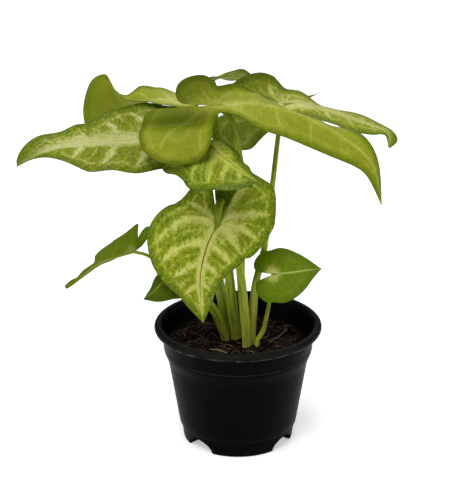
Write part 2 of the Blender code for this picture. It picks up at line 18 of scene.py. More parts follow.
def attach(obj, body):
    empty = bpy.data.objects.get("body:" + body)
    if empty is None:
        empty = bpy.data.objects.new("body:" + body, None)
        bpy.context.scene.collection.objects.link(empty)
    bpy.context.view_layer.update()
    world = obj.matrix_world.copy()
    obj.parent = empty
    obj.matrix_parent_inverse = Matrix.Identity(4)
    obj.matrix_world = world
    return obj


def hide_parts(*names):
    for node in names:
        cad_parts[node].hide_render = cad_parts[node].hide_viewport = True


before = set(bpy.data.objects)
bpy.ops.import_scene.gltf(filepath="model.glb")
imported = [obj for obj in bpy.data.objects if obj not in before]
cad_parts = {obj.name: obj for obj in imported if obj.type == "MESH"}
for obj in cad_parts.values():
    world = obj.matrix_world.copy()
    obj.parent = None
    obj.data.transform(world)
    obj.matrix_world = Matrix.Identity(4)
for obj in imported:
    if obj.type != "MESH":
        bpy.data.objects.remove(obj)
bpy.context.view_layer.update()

LOG = logging.getLogger("arrowhead_vine")
MM = 0.001
BODY = "root"

Colour = tuple[float, float, float]
Point = tuple[float, float, float]
Stations = tuple[tuple[float, float], ...]
Shape = bmesh.types.BMesh
Socket = bpy.types.NodeSocket

# Sockets of the colour form of the Mix node
MIX_SHARE, MIX_FIRST, MIX_SECOND, MIX_RESULT = 0, 6, 7, 2


def paint(red: int, green: int, blue: int) -> Colour:
    """Linear colour of a paint given as display values from 0 to 255.

    Args:
        red: Display value of red.
        green: Display value of green.
        blue: Display value of blue.

    Returns:
        The three linear values.
    """
    shares = [value / 255.0 for value in (red, green, blue)]
    return tuple(s / 12.92 if s <= 0.04045 else ((s + 0.055) / 1.055) ** 2.4 for s in shares)


def add_object(name: str, mesh: bpy.types.Mesh) -> bpy.types.Object:
    """Put a mesh into the scene as an object at the origin.

    Args:
        name: Name of the object.
        mesh: Its mesh.

    Returns:
        The new object.
    """
    obj = bpy.data.objects.new(name, mesh)
    bpy.context.scene.collection.objects.link(obj)
    return obj


def closed_up(shape: Shape, name: str) -> bpy.types.Mesh:
    """Write a shape into a new mesh and free it.

    Args:
        shape: The shape.
        name: Name of the mesh.

    Returns:
        The mesh.
    """
    mesh = bpy.data.meshes.new(name)
    shape.to_mesh(mesh)
    shape.free()
    return mesh


def reopened(mesh: bpy.types.Mesh) -> Shape:
    """Take a mesh up again as a shape and remove it.

    Args:
        mesh: The mesh.

    Returns:
        The shape.
    """
    shape = bmesh.new()
    shape.from_mesh(mesh)
    bpy.data.meshes.remove(mesh)
    return shape


def add_piece(name: str, shape: Shape, sharp: float, materials: list[bpy.types.Material], slot: str,
              *nodes: str) -> None:
    """Finish a millimetre shape as a smooth piece in metres, parent it to the body's empty and hide the solids
    that it replaces.

    Args:
        name: Name of the piece.
        shape: The shape, which is freed.
        sharp: Degrees from which an edge stays sharp.
        materials: Its materials in order.
        slot: Not used.
        nodes: Solids that the piece replaces.
    """
    bmesh.ops.scale(shape, vec=(MM, MM, MM), verts=shape.verts)
    mesh = closed_up(shape, name)
    mesh.shade_smooth()
    mesh.set_sharp_from_angle(angle=math.radians(sharp))
    piece = add_object(name, mesh)
    for material in materials:
        mesh.materials.append(material)
    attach(piece, BODY)
    if nodes:
        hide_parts(*nodes)
    LOG.info("%s: %d faces", piece.name, len(piece.data.polygons))


class Graph:
    """Adds nodes to one node tree and links them."""

    def __init__(self, tree: bpy.types.NodeTree) -> None:
        """Keep the tree that the nodes go into."""
        self.tree = tree

    def node(self, kind: str, **settings: object) -> bpy.types.Node:
        """Add a node.

        Args:
            kind: Blender's name of the node type.
            settings: Properties to set on it.

        Returns:
            The node.
        """
        node = self.tree.nodes.new(kind)
        for name, value in settings.items():
            setattr(node, name, value)
        return node

    def feed(self, socket: Socket, value: object) -> None:
        """Link an output to a socket, or set a plain value on it.

        Args:
            socket: Input socket.
            value: Output socket, number or colour.
        """
        if isinstance(value, Socket):
            self.tree.links.new(value, socket)
        elif socket.type == "RGBA":
            socket.default_value = (*value, 1.0)
        else:
            socket.default_value = value

    def made(self, kind: str, *values: object, **settings: object) -> Socket:
        """First output of a new node whose first inputs are fed in order.

        Args:
            kind: Blender's name of the node type.
            values: Values of the inputs.
            settings: Properties to set on the node.

        Returns:
            The output socket.
        """
        node = self.node(kind, **settings)
        for socket, value in zip(node.inputs, values):
            self.feed(socket, value)
        return node.outputs[0]

    def math(self, operation: str, *values: object, clamp: bool = False) -> Socket:
        """Result of a Math node, kept between 0 and 1 where clamp is set."""
        return self.made("ShaderNodeMath", *values, operation=operation, use_clamp=clamp)

    def times(self, first: object, second: object) -> Socket:
        """Product of two values."""
        return self.math("MULTIPLY", first, second)

    def plus(self, first: object, second: object) -> Socket:
        """Sum of two values."""
        return self.math("ADD", first, second)

    def minus(self, first: object, second: object) -> Socket:
        """First value less the second."""
        return self.math("SUBTRACT", first, second)

    def scaled(self, value: object, factor: object, offset: object) -> Socket:
        """Value times a factor, plus an offset."""
        return self.math("MULTIPLY_ADD", value, factor, offset)

    def larger(self, first: object, second: object) -> Socket:
        """The larger of two values."""
        return self.math("MAXIMUM", first, second)

    def apart(self, first: object, second: object) -> Socket:
        """How far two values are apart."""
        return self.math("ABSOLUTE", self.minus(first, second))

    def vector(self, *numbers: object) -> Socket:
        """Vector of three numbers."""
        return self.made("ShaderNodeCombineXYZ", *numbers)

    def parts(self, vector: object) -> list[Socket]:
        """The three numbers of a vector."""
        return list(self.made("ShaderNodeSeparateXYZ", vector).node.outputs)

    def length(self, vector: object) -> Socket:
        """Length of a vector."""
        return self.made("ShaderNodeVectorMath", vector, operation="LENGTH").node.outputs["Value"]

    def fade(self, value: object, start: object, end: object, low: object = 0.0, high: object = 1.0) -> Socket:
        """Smooth passage from low to high while the value goes from start to end."""
        return self.made("ShaderNodeMapRange", value, start, end, low, high, interpolation_type="SMOOTHSTEP")

    def noise(self, place: object, scale: float, detail: float = 2.0, rough: float = 0.5,
              warp: float = 0.0) -> Socket:
        """Noise from 0 to 1.

        Args:
            place: Coordinates.
            scale: Features in a unit of length.
            detail: Octaves.
            rough: Share that each octave adds.
            warp: Distortion.

        Returns:
            The output socket.
        """
        settings = {"Vector": place, "Scale": scale, "Detail": detail, "Roughness": rough, "Distortion": warp}
        node = self.node("ShaderNodeTexNoise")
        for name, value in settings.items():
            self.feed(node.inputs[name], value)
        return node.outputs[0]

    def swing(self, *settings: object) -> Socket:
        """Noise from -0.5 to 0.5, with the settings of noise()."""
        return self.minus(self.noise(*settings), 0.5)

    def net(self, place: object, scale: float) -> Socket:
        """Distance to the borders of a cell pattern.

        Args:
            place: Coordinates.
            scale: Cells in a unit of length.

        Returns:
            The output socket.
        """
        node = self.node("ShaderNodeTexVoronoi", feature="DISTANCE_TO_EDGE")
        self.feed(node.inputs["Vector"], place)
        self.feed(node.inputs["Scale"], scale)
        return node.outputs["Distance"]

    def mix(self, share: object, first: object, second: object, blend: str = "MIX") -> Socket:
        """Blend of two colours.

        Args:
            share: Share of the second colour.
            first: First colour.
            second: Second colour.
            blend: Blend type.

        Returns:
            The output socket.
        """
        node = self.node("ShaderNodeMix", data_type="RGBA", blend_type=blend, clamp_factor=True)
        for index, value in ((MIX_SHARE, share), (MIX_FIRST, first), (MIX_SECOND, second)):
            self.feed(node.inputs[index], value)
        return node.outputs[MIX_RESULT]

    def attribute(self, name: str, output: str = "Fac") -> Socket:
        """Value of a mesh attribute, with Fac for a number and Vector for a place."""
        return self.node("ShaderNodeAttribute", attribute_name=name).outputs[output]

    def place(self, scale: Point = (1.0, 1.0, 1.0)) -> Socket:
        """Object coordinates in metres, stretched by a Mapping node.

        Args:
            scale: Stretch of each axis.

        Returns:
            The output socket.
        """
        mapping = self.node("ShaderNodeMapping")
        mapping.inputs["Scale"].default_value = scale
        self.feed(mapping.inputs["Vector"], self.node("ShaderNodeTexCoord").outputs["Object"])
        return mapping.outputs["Vector"]


class Effect(Graph):
    """A shader node group that several materials use, built once. It gives colour, roughness and height."""

    COLOUR = "NodeSocketColor"
    NUMBER = "NodeSocketFloat"

    def __init__(self, name: str, colours: tuple[str, ...], values: tuple[str, ...] = ()) -> None:
        """Make the group and its sockets.

        Args:
            name: Name of the group.
            colours: Names of the colours that it takes.
            values: Names of the numbers that it takes.
        """
        super().__init__(bpy.data.node_groups.new(name, "ShaderNodeTree"))
        inputs = dict.fromkeys(colours, self.COLOUR) | dict.fromkeys(values, self.NUMBER)
        outputs = {"Colour": self.COLOUR, "Roughness": self.NUMBER, "Height": self.NUMBER}
        for direction, sockets in (("INPUT", inputs), ("OUTPUT", outputs)):
            for socket, kind in sockets.items():
                self.tree.interface.new_socket(socket, in_out=direction, socket_type=kind)
        self.given = self.node("NodeGroupInput").outputs
        self.results = self.node("NodeGroupOutput").inputs

    def give(self, *values: object) -> None:
        """Set the group's outputs in order."""
        for socket, value in zip(self.results, values):
            self.feed(socket, value)

    def use(self, graph: Graph, **values: object) -> bpy.types.NodeOutputs:
        """Place the group in a material.

        Args:
            graph: Graph of the material.
            values: Value of each input.

        Returns:
            The group's outputs.
        """
        node = graph.node("ShaderNodeGroup", node_tree=self.tree)
        for name, value in values.items():
            graph.feed(node.inputs[name], value)
        return node.outputs


def new_material(name: str) -> tuple[bpy.types.Material, Graph, bpy.types.NodeInputs]:
    """An opaque material with its own Principled shader.

    Args:
        name: Name of the material.

    Returns:
        The material, its graph and the shader's inputs.
    """
    material = bpy.data.materials.new(name)
    material.use_nodes = True
    shader = material.node_tree.nodes["Principled BSDF"]
    shader.inputs["Metallic"].default_value = 0.0
    return material, Graph(material.node_tree), shader.inputs


def dress(graph: Graph, shader: bpy.types.NodeInputs, skin: tuple, depth: float, specular: float) -> None:
    """Feed a shader's colour, roughness and fine relief.

    Args:
        graph: Graph of the material.
        shader: The shader's inputs.
        skin: Colour, roughness, and height of the relief from 0 to 1.
        depth: Metres that a height of 1 stands for.
        specular: Level of its reflections.
    """
    colour, rough, height = skin
    bump = graph.node("ShaderNodeBump")
    bump.inputs["Distance"].default_value = depth
    graph.feed(bump.inputs["Height"], height)
    for name, value in (("Base Color", colour), ("Roughness", rough), ("Normal", bump.outputs["Normal"])):
        graph.feed(shader[name], value)
    shader["Specular IOR Level"].default_value = specular


# Curves and frames


def unit(vectors: np.ndarray) -> np.ndarray:
    """Vectors brought to length 1 along their last axis."""
    vectors = np.asarray(vectors, float)
    return vectors / np.linalg.norm(vectors, axis=-1, keepdims=True)


def smooth_path(points: object, count: int) -> np.ndarray:
    """A curve through the points, read at equal steps of its length.

    Args:
        points: Points that it passes through.
        count: Points to return.

    Returns:
        Array with one row for each point.
    """
    p = np.asarray(points, float)
    padded = np.vstack([2 * p[0] - p[1], p, 2 * p[-1] - p[-2]])
    steps = np.linspace(0, 1, 24, endpoint=False)[:, None]
    fine = []
    for a, b, c, d in zip(padded[:-3], padded[1:-2], padded[2:-1], padded[3:]):
        fine.append(0.5 * (2 * b + (c - a) * steps + (2 * a - 5 * b + 4 * c - d) * steps ** 2
                           + (3 * b - a - 3 * c + d) * steps ** 3))
    fine = np.vstack([*fine, p[-1:]])
    run = np.concatenate([[0.0], np.cumsum(np.linalg.norm(np.diff(fine, axis=0), axis=1))])
    places = np.linspace(0, run[-1], count)
    return np.stack([np.interp(places, run, fine[:, k]) for k in range(fine.shape[1])], axis=1)


def eased(stations: Stations, places: np.ndarray) -> np.ndarray:
    """Values between (place, value) stations, level at each station.

    Args:
        stations: The stations in order of place.
        places: Where to read.

    Returns:
        One value for each place.
    """
    at = np.array([station[0] for station in stations], float)
    values = np.array([station[1] for station in stations], float)
    places = np.clip(places, at[0], at[-1])
    k = np.clip(np.searchsorted(at, places, side="left"), 1, len(at) - 1)
    t = (places - at[k - 1]) / (at[k] - at[k - 1])
    return values[k - 1] + (values[k] - values[k - 1]) * t * t * (3 - 2 * t)


def line_distance(points: np.ndarray, line: np.ndarray) -> np.ndarray:
    """Distance of flat points from a bent line.

    Args:
        points: Points to measure from.
        line: Corners of the line.

    Returns:
        One distance for each point.
    """
    best = np.full(len(points), np.inf)
    for a, b in zip(line[:-1], line[1:]):
        along = b - a
        share = np.clip((points - a) @ along / max(along @ along, 1e-9), 0, 1)
        best = np.minimum(best, np.linalg.norm(points - a - share[:, None] * along, axis=1))
    return best


# Leaf finishes


class Variegation(Enum):
    """How the pale parts of a blade are laid out: spread, mottle, halo in millimetres and strength of veins."""
    GOLDEN = (0.42, 0.85, 4.6, 1.0)
    PALE = (0.54, 0.55, 4.0, 0.7)
    SMOOTH = (0.56, 0.26, 2.2, 0.26)
    PLAIN = (0.10, 0.30, 1.0, 0.30)


class BladePattern(Effect):
    """The pattern of a blade: cream along its veins, green between them and speckled where the two meet, with
    painted shade on lobes and folds that lie in shade.

    It is laid out on the flat blade, in millimetres.
    """

    COLOURS = ("cream", "lime", "green", "under", "vein", "rib")
    LAYOUT = ("spread", "mottle", "halo", "lines")
    VALUES = ("band_left", "band_right", "rib_line", "collect", "green_edge", "splash", "tip", "seed", *LAYOUT)
    SHADE = paint(150, 156, 24)
    MARGIN_LINE = paint(56, 62, 8)
    CREASE_STRETCH = 0.05
    BAND_END = 2.4

    def __init__(self) -> None:
        """Make the group, read what the blade's mesh says and lay out the pattern."""
        super().__init__("blade_pattern", self.COLOURS, self.VALUES)
        flat = self.attribute("flat", "Vector")
        self.from_stalk = self.length(flat)
        x, y, _ = self.parts(flat)
        self.spot = self.vector(x, y, self.given["seed"])
        self.drawn = self.vector(self.times(x, self.CREASE_STRETCH), y, self.given["seed"])
        self.rib, self.edge, self.along = (self.attribute(name) for name in ("rib", "edge", "along"))
        self.under, self.deep = self.attribute("under"), self.attribute("deep")
        left = self.math("GREATER_THAN", y, 0.0)
        band = self.plus(self.times(self.given["band_left"], left),
                         self.times(self.given["band_right"], self.minus(1.0, left)))
        self.band = self.times(band, self.fade(self.along, 0.40, 1.0, 1.0, 0.25))
        self.wide_band = self.times(self.band, self.BAND_END)
        self.read_distances()
        lines = self.vein_lines()
        gloss = self.scaled(self.noise(self.spot, 0.5, 2.0), 0.16, 0.40)
        skin = self.times(self.noise(self.spot, 1.8, 2.0), 0.45)
        height = self.plus(skin, self.times(lines, -0.5))
        self.give(self.coloured(lines), self.scaled(self.under, 0.16, gloss), height)

    def read_distances(self) -> None:
        """Distances from the main veins, the weaker ones between them and the vein inside the margin."""
        number, span = self.attribute("vein"), self.attribute("span")
        waver = self.times(self.swing(self.spot, 0.16, 2.0), 2.4)
        halfway = self.math("PINGPONG", self.plus(number, 0.5), 0.5)
        inward = self.times(self.swing(self.spot, 0.09, 1.0), 6.0)
        self.from_vein = self.times(self.math("PINGPONG", number, 0.5), span)
        self.from_minor = self.math("ABSOLUTE", self.plus(self.times(halfway, span), waver))
        self.from_collect = self.apart(self.plus(self.edge, inward), self.given["collect"])

    def pale_share(self) -> Socket:
        """Share of cream before it is broken up: along the midrib, round the stalk and beside the veins.

        Returns:
            The output socket.
        """
        given, edge = self.given, self.edge
        by_rib = self.fade(self.rib, self.times(self.band, 0.3), self.wide_band, 0.95, 0.0)
        splash_end = self.scaled(given["spread"], 42.0, 7.0)
        by_stalk = self.fade(self.from_stalk, 2.0, splash_end, given["splash"], 0.0)
        inner = self.fade(edge, 1.5, 10.0, 0.15, 1.0)
        feather = self.fade(self.noise(self.spot, 0.42, 3.0, 0.60), 0.28, 0.60, 0.50, 1.0)
        halo = self.times(given["halo"], self.fade(edge, 2.0, 18.0, 0.35, 1.15))
        by_vein = self.times(self.times(self.fade(self.from_vein, 0.10, halo, 0.85, 0.0), inner), feather)
        by_minor = self.times(self.fade(self.from_minor, 0.0, 1.6, 0.30, 0.0), inner)
        by_collect = self.times(self.fade(self.from_collect, 0.0, 2.2, 0.45, 0.0), feather)
        pale = self.larger(self.larger(by_rib, by_vein), self.larger(by_minor, by_collect))
        pale = self.times(pale, self.fade(given["lines"], 0.0, 1.0, 0.10, 1.0))
        pale = self.scaled(given["spread"], 0.60, self.plus(pale, by_stalk))
        clouds = self.swing(self.spot, 0.11, 3.0, 0.55, 0.4)
        return self.scaled(clouds, self.fade(given["mottle"], 0.2, 0.8, 0.45, 1.0), pale)

    def marbled(self) -> Socket:
        """Colour of the blade without its veins: cream, lime and green, speckled where they meet.

        Returns:
            The output socket.
        """
        given = self.given
        speck = self.swing(self.spot, 0.50, 3.0, 0.60, 0.5)
        fleck = self.swing(self.spot, 1.8, 1.0, 0.5)
        margin = self.fade(self.edge, 0.3, given["green_edge"], 0.55, 0.0)
        grainy = self.times(self.plus(self.times(speck, 1.7), fleck), given["mottle"])
        grainy = self.times(grainy, self.scaled(margin, 1.6, 1.0))
        pale = self.minus(self.plus(self.pale_share(), grainy), margin)
        # Painted shade also takes the cream out where it lies
        pale = self.minus(pale, self.times(self.deep, 0.7))
        lime_share = self.fade(self.plus(pale, self.times(grainy, 0.4)), -0.30, 0.80)
        colour = self.mix(lime_share, given["green"], given["lime"])
        colour = self.mix(self.fade(pale, 0.40, 1.20), colour, given["cream"])
        streaks = self.noise(self.spot, 0.35, 3.0, 0.6)
        colour = self.mix(self.fade(streaks, 0.35, 0.75, 0.0, 0.22), colour, given["green"])
        creases = self.fade(self.noise(self.drawn, 1.1, 2.0, 0.6), 0.46, 0.66, 0.0, 0.45)
        creases = self.times(creases, self.fade(self.rib, self.band, self.wide_band, 1.0, 0.0))
        colour = self.mix(creases, colour, given["lime"])
        return self.mix(self.fade(self.along, 0.72, 1.0, 0.0, given["tip"]), colour, given["green"])

    def vein_lines(self) -> Socket:
        """The veins themselves: thin pale lines that fade towards the margin, and the fine net between them.

        Returns:
            Strength of the lines as an output socket.
        """
        thin = self.times(self.fade(self.edge, 3.0, 14.0, 0.0, 1.0), self.given["lines"])
        line = self.times(self.fade(self.from_vein, 0.05, 0.80, 0.34, 0.0), thin)
        fine = self.times(self.fade(self.from_minor, 0.06, 0.30, 0.16, 0.0), thin)
        net = self.times(self.fade(self.net(self.spot, 0.28), 0.01, 0.07, 0.16, 0.0), self.given["lines"])
        return self.larger(self.larger(line, fine), net)

    def coloured(self, lines: Socket) -> Socket:
        """The finished colour: marbling, veins, the line down the midrib, underside, painted shade on lobes and
        folds, and margin.

        Args:
            lines: Strength of the veins' lines.

        Returns:
            The output socket.
        """
        given = self.given
        colour = self.mix(lines, self.marbled(), given["vein"])
        reach = self.times(given["rib_line"], self.fade(self.along, 0.55, 1.0, 1.0, 0.35))
        rib_share = self.fade(self.rib, self.times(reach, 0.5), self.times(reach, 1.5),
                              self.fade(self.along, 0.5, 1.0, 0.85, 0.35), 0.0)
        colour = self.mix(rib_share, colour, given["rib"])
        colour = self.mix(self.under, colour, self.mix(0.62, colour, given["under"]))
        # Painted shade: lobes, furrows and tucked parts that lie in shade are multiplied darker
        colour = self.mix(self.math("MULTIPLY", self.deep, 0.62, clamp=True), colour, self.SHADE, "MULTIPLY")
        return self.mix(self.fade(self.edge, 0.15, 0.80, 0.75, 0.0), colour, self.MARGIN_LINE)


class StalkSkin(Effect):
    """The skin of a stalk: fine streaks along it, paler where it leaves the soil, and painted highlight streaks
    that fade towards its top.
    """

    def __init__(self) -> None:
        """Make the group and lay out the streaks."""
        super().__init__("stalk_skin", ("low", "middle", "high", "streak", "painted_highlight"))
        given, skin, along = self.given, self.attribute("skin", "Vector"), self.attribute("along")
        colour = self.mix(self.fade(along, 0.02, 0.32), given["low"], given["middle"])
        colour = self.mix(self.fade(along, 0.45, 0.95), colour, given["high"])
        narrow = self.noise(skin, 2.1, 3.0, 0.6)
        wide = self.fade(self.noise(skin, 0.55, 2.0, 0.5), 0.45, 0.72, 0.0, 0.75)
        colour = self.mix(wide, colour, given["streak"])
        colour = self.mix(self.fade(narrow, 0.42, 0.75, 0.0, 0.40), colour, given["streak"])
        # Painted highlight: pale glints in streaks, fewer towards the blade
        highlight_share = self.fade(self.noise(skin, 1.3, 2.0, 0.5), 0.56, 0.70, 0.0, 0.55)
        colour = self.mix(self.times(highlight_share, self.fade(along, 0.35, 0.85, 1.0, 0.2)), colour, given["painted_highlight"])
        self.give(colour, self.scaled(narrow, 0.2, 0.32), narrow)


@dataclass(frozen=True)
class BladeFinish:
    """Colours of a blade and the way its pale parts follow its veins, named as the pattern names them."""
    pattern: Variegation = Variegation.GOLDEN
    cream: Colour = paint(186, 186, 98)
    lime: Colour = paint(133, 145, 14)
    green: Colour = paint(78, 96, 0)
    under: Colour = paint(112, 122, 22)
    vein: Colour = paint(192, 192, 118)
    rib: Colour = paint(92, 82, 24)
    band_left: float = 2.5
    band_right: float = 2.5
    rib_line: float = 0.34
    collect: float = 7.0
    green_edge: float = 6.0
    splash: float = 0.45
    tip: float = 0.30

    def build(self, name: str, effect: BladePattern, seed: float) -> bpy.types.Material:
        """The material of one blade.

        Args:
            name: Name of the material.
            effect: The shared blade pattern.
            seed: Number that makes this blade's mottling its own.

        Returns:
            The material.
        """
        material, graph, shader = new_material(name)
        values = {key: value for key, value in vars(self).items() if key != "pattern"}
        values |= dict(zip(effect.LAYOUT, self.pattern.value))
        dress(graph, shader, effect.use(graph, seed=seed, **values), depth=0.00035, specular=0.08)
        shader["Subsurface Weight"].default_value = 0.12
        shader["Subsurface Radius"].default_value = (0.5, 1.0, 0.2)
        shader["Subsurface Scale"].default_value = 0.002
        return material


@dataclass(frozen=True)
class StalkFinish:
    """Colours of a stalk from the soil up to its blade."""
    low: Colour = paint(186, 196, 70)
    middle: Colour = paint(160, 176, 40)
    high: Colour = paint(122, 138, 20)
    streak: Colour = paint(76, 98, 0)
    # Colour of the painted highlight streaks
    painted_highlight: Colour = paint(206, 214, 112)

    def build(self, name: str, effect: StalkSkin) -> bpy.types.Material:
        """The material of one stalk.

        Args:
            name: Name of the material.
            effect: The shared stalk skin.

        Returns:
            The material.
        """
        material, graph, shader = new_material(name)
        dress(graph, shader, effect.use(graph, **vars(self)), depth=0.0003, specular=0.12)
        return material


# Leaves


@dataclass
class Half:
    """One side of a blade: its flat size, and how far it is folded, curled and rippled.

    fold and curl are (place, degrees) stations from -1 at the lobe's end, through 0 at the stalk, to 1 at the
    tip. margin, where given, is the flat margin itself in millimetres, from the tip to the lobe's inner edge.
    Otherwise full widens the usual margin between stalk and tip, and waist narrows it where a lobe is set off
    from the blade. back is how far the lobe bends away from the upper side, in degrees. Three fields paint shade:
    how much greener and darker the furrow across the lobe, the whole lobe, and the part of the lobe that crosses
    over behind the other one are painted, for the shade that falls there.
    """
    width: float
    lobe: float
    fold: Stations
    curl: Stations
    wave: float = 1.0
    wave_count: float = 4.0
    wave_start: float = 0.0
    full: float = 0.0
    lobe_width: float = 0.0
    blunt: float = 0.0
    margin: tuple = ()
    back: float = 0.0
    waist: float = 0.0
    furrow_depth: float = 0.0
    furrow_place: float = 0.3
    furrow_breadth: float = 0.14
    # Painted shade in the furrow across the lobe
    furrow_deep: float = 0.0
    vein_start: float = 0.0
    # Painted shade on the whole lobe, and on the part of the lobe that crosses behind the other one
    deep: float = 0.0
    tuck: float = 0.0

    AHEAD = ((1.0, 0.0), (0.93, 0.06), (0.80, 0.22), (0.60, 0.50), (0.38, 0.77), (0.18, 0.94), (0.0, 1.0))
    LOBE_ROUND = ((-0.30, 1.0), (-0.62, 0.90), (-0.88, 0.70), (-1.0, 0.46), (-0.96, 0.28), (-0.86, 0.18))
    LOBE_BLUNT = ((-0.35, 1.03), (-0.75, 1.02), (-1.0, 0.82), (-1.05, 0.50), (-1.0, 0.18), (-0.90, 0.02))
    VEIN_REACH = 0.10
    VEIN_LEAN = 0.06
    VEIN_LEAN_GAIN = 0.62
    VEIN_BOW = 0.46
    VEIN_FAN = math.radians(30.0)
    VEIN_SPAN_MIN = 0.3
    MARGIN_STEPS = 200
    SWEEP = 0.10
    SWEEP_END = 0.25
    FURROW_START = 0.1
    FURROW_EASE = 12.0

    def margin_line(self, length: float, count: int) -> np.ndarray:
        """Margin laid flat, from the tip to the end of the lobe's inner edge.

        Args:
            length: Length of the midrib.
            count: Points to return.

        Returns:
            Flat points.
        """
        if self.margin:
            return smooth_path(self.margin, count)
        wide = self.lobe_width or self.width
        points = []
        for x, y in self.AHEAD:
            y = (y + self.full * 4 * x * (1 - x)) * (1 - self.waist * (1 - x) ** 12)
            points.append((x * length, y * self.width))
        if self.waist:
            points.insert(-1, (0.09 * length, (1 - 0.55 * self.waist) * self.width))
            points.append((-0.07 * self.lobe, 0.80 * wide))
        for (rx, ry), (bx, by) in zip(self.LOBE_ROUND, self.LOBE_BLUNT):
            points.append(((rx + (bx - rx) * self.blunt) * self.lobe, (ry + (by - ry) * self.blunt) * wide))
        return smooth_path(points, count)

    def flat_points(self, length: float, q: np.ndarray, r: np.ndarray, rows: int) -> np.ndarray:
        """Flat points of a fan of lines from the midrib to the margin.

        Args:
            length: Length of the midrib.
            q: Place of each line's end along the margin, from 0 at the tip to 1.
            r: Share of the way along the line.
            rows: Number of lines.

        Returns:
            Flat points, x ahead of the stalk and y out from the midrib.
        """
        ahead = self.margin_line(length, self.MARGIN_STEPS + 1)[:, 0] > self.VEIN_REACH * length
        served = float(ahead.sum()) / self.MARGIN_STEPS
        ends = self.margin_line(length, rows + 1)[np.round(q * rows).astype(int)]
        starts = np.stack([length * np.maximum(0.0, 1 - q / served), np.zeros_like(q)], axis=1)
        points = starts + (ends - starts) * r[:, None]
        sweep = np.where(q < served, 1.0, np.maximum(0.0, 1 - (q - served) / self.SWEEP_END))
        points[:, 0] -= self.SWEEP * np.linalg.norm(ends - starts, axis=1) * 4 * r * (1 - r) * sweep
        return points

    def furrow(self, length: float, flat: np.ndarray, shift: float = 0.0, spread: float = 1.0) -> np.ndarray:
        """Share of the furrow's depth at flat points.

        Args:
            length: Length of the midrib.
            flat: Flat points.
            shift: Half widths that the furrow is moved outward.
            spread: Times its usual breadth.

        Returns:
            Shares from 0 to 1.
        """
        across = flat[:, 1] / (self.lobe_width or self.width) - self.furrow_place - shift
        start = self.FURROW_START * length
        along = np.clip((start - flat[:, 0]) / (start + self.FURROW_EASE), 0.0, 1.0)
        return np.exp(-(across / self.furrow_breadth / spread) ** 2) * along

    def veins(self, length: float, flat: np.ndarray, count: float) -> tuple[np.ndarray, np.ndarray]:
        """Vein number at flat points, whole on each main vein, and the millimetres that one number takes.

        Args:
            length: Length of the midrib.
            flat: Flat points.
            count: Main veins that leave the midrib on this side.

        Returns:
            The numbers and the lengths.
        """
        x, y = flat[:, 0], flat[:, 1]
        reach = max(self.width, self.lobe_width, 1.0)
        lean = self.VEIN_LEAN + self.VEIN_LEAN_GAIN * np.clip(x / length, 0, 1)
        ahead = lean * y + self.VEIN_BOW * y ** 2 / reach
        leaving = x - ahead
        slope = lean + 2 * self.VEIN_BOW * y / reach
        turn = np.arctan2(y, x) - np.arctan2(y, ahead)
        behind = leaving < 0
        number = np.where(behind, -turn / self.VEIN_FAN, count * leaving / length)
        span = np.where(behind, np.hypot(x, y) * self.VEIN_FAN, length / count / np.sqrt(1 + slope ** 2))
        return number + self.vein_start, np.maximum(span, self.VEIN_SPAN_MIN)


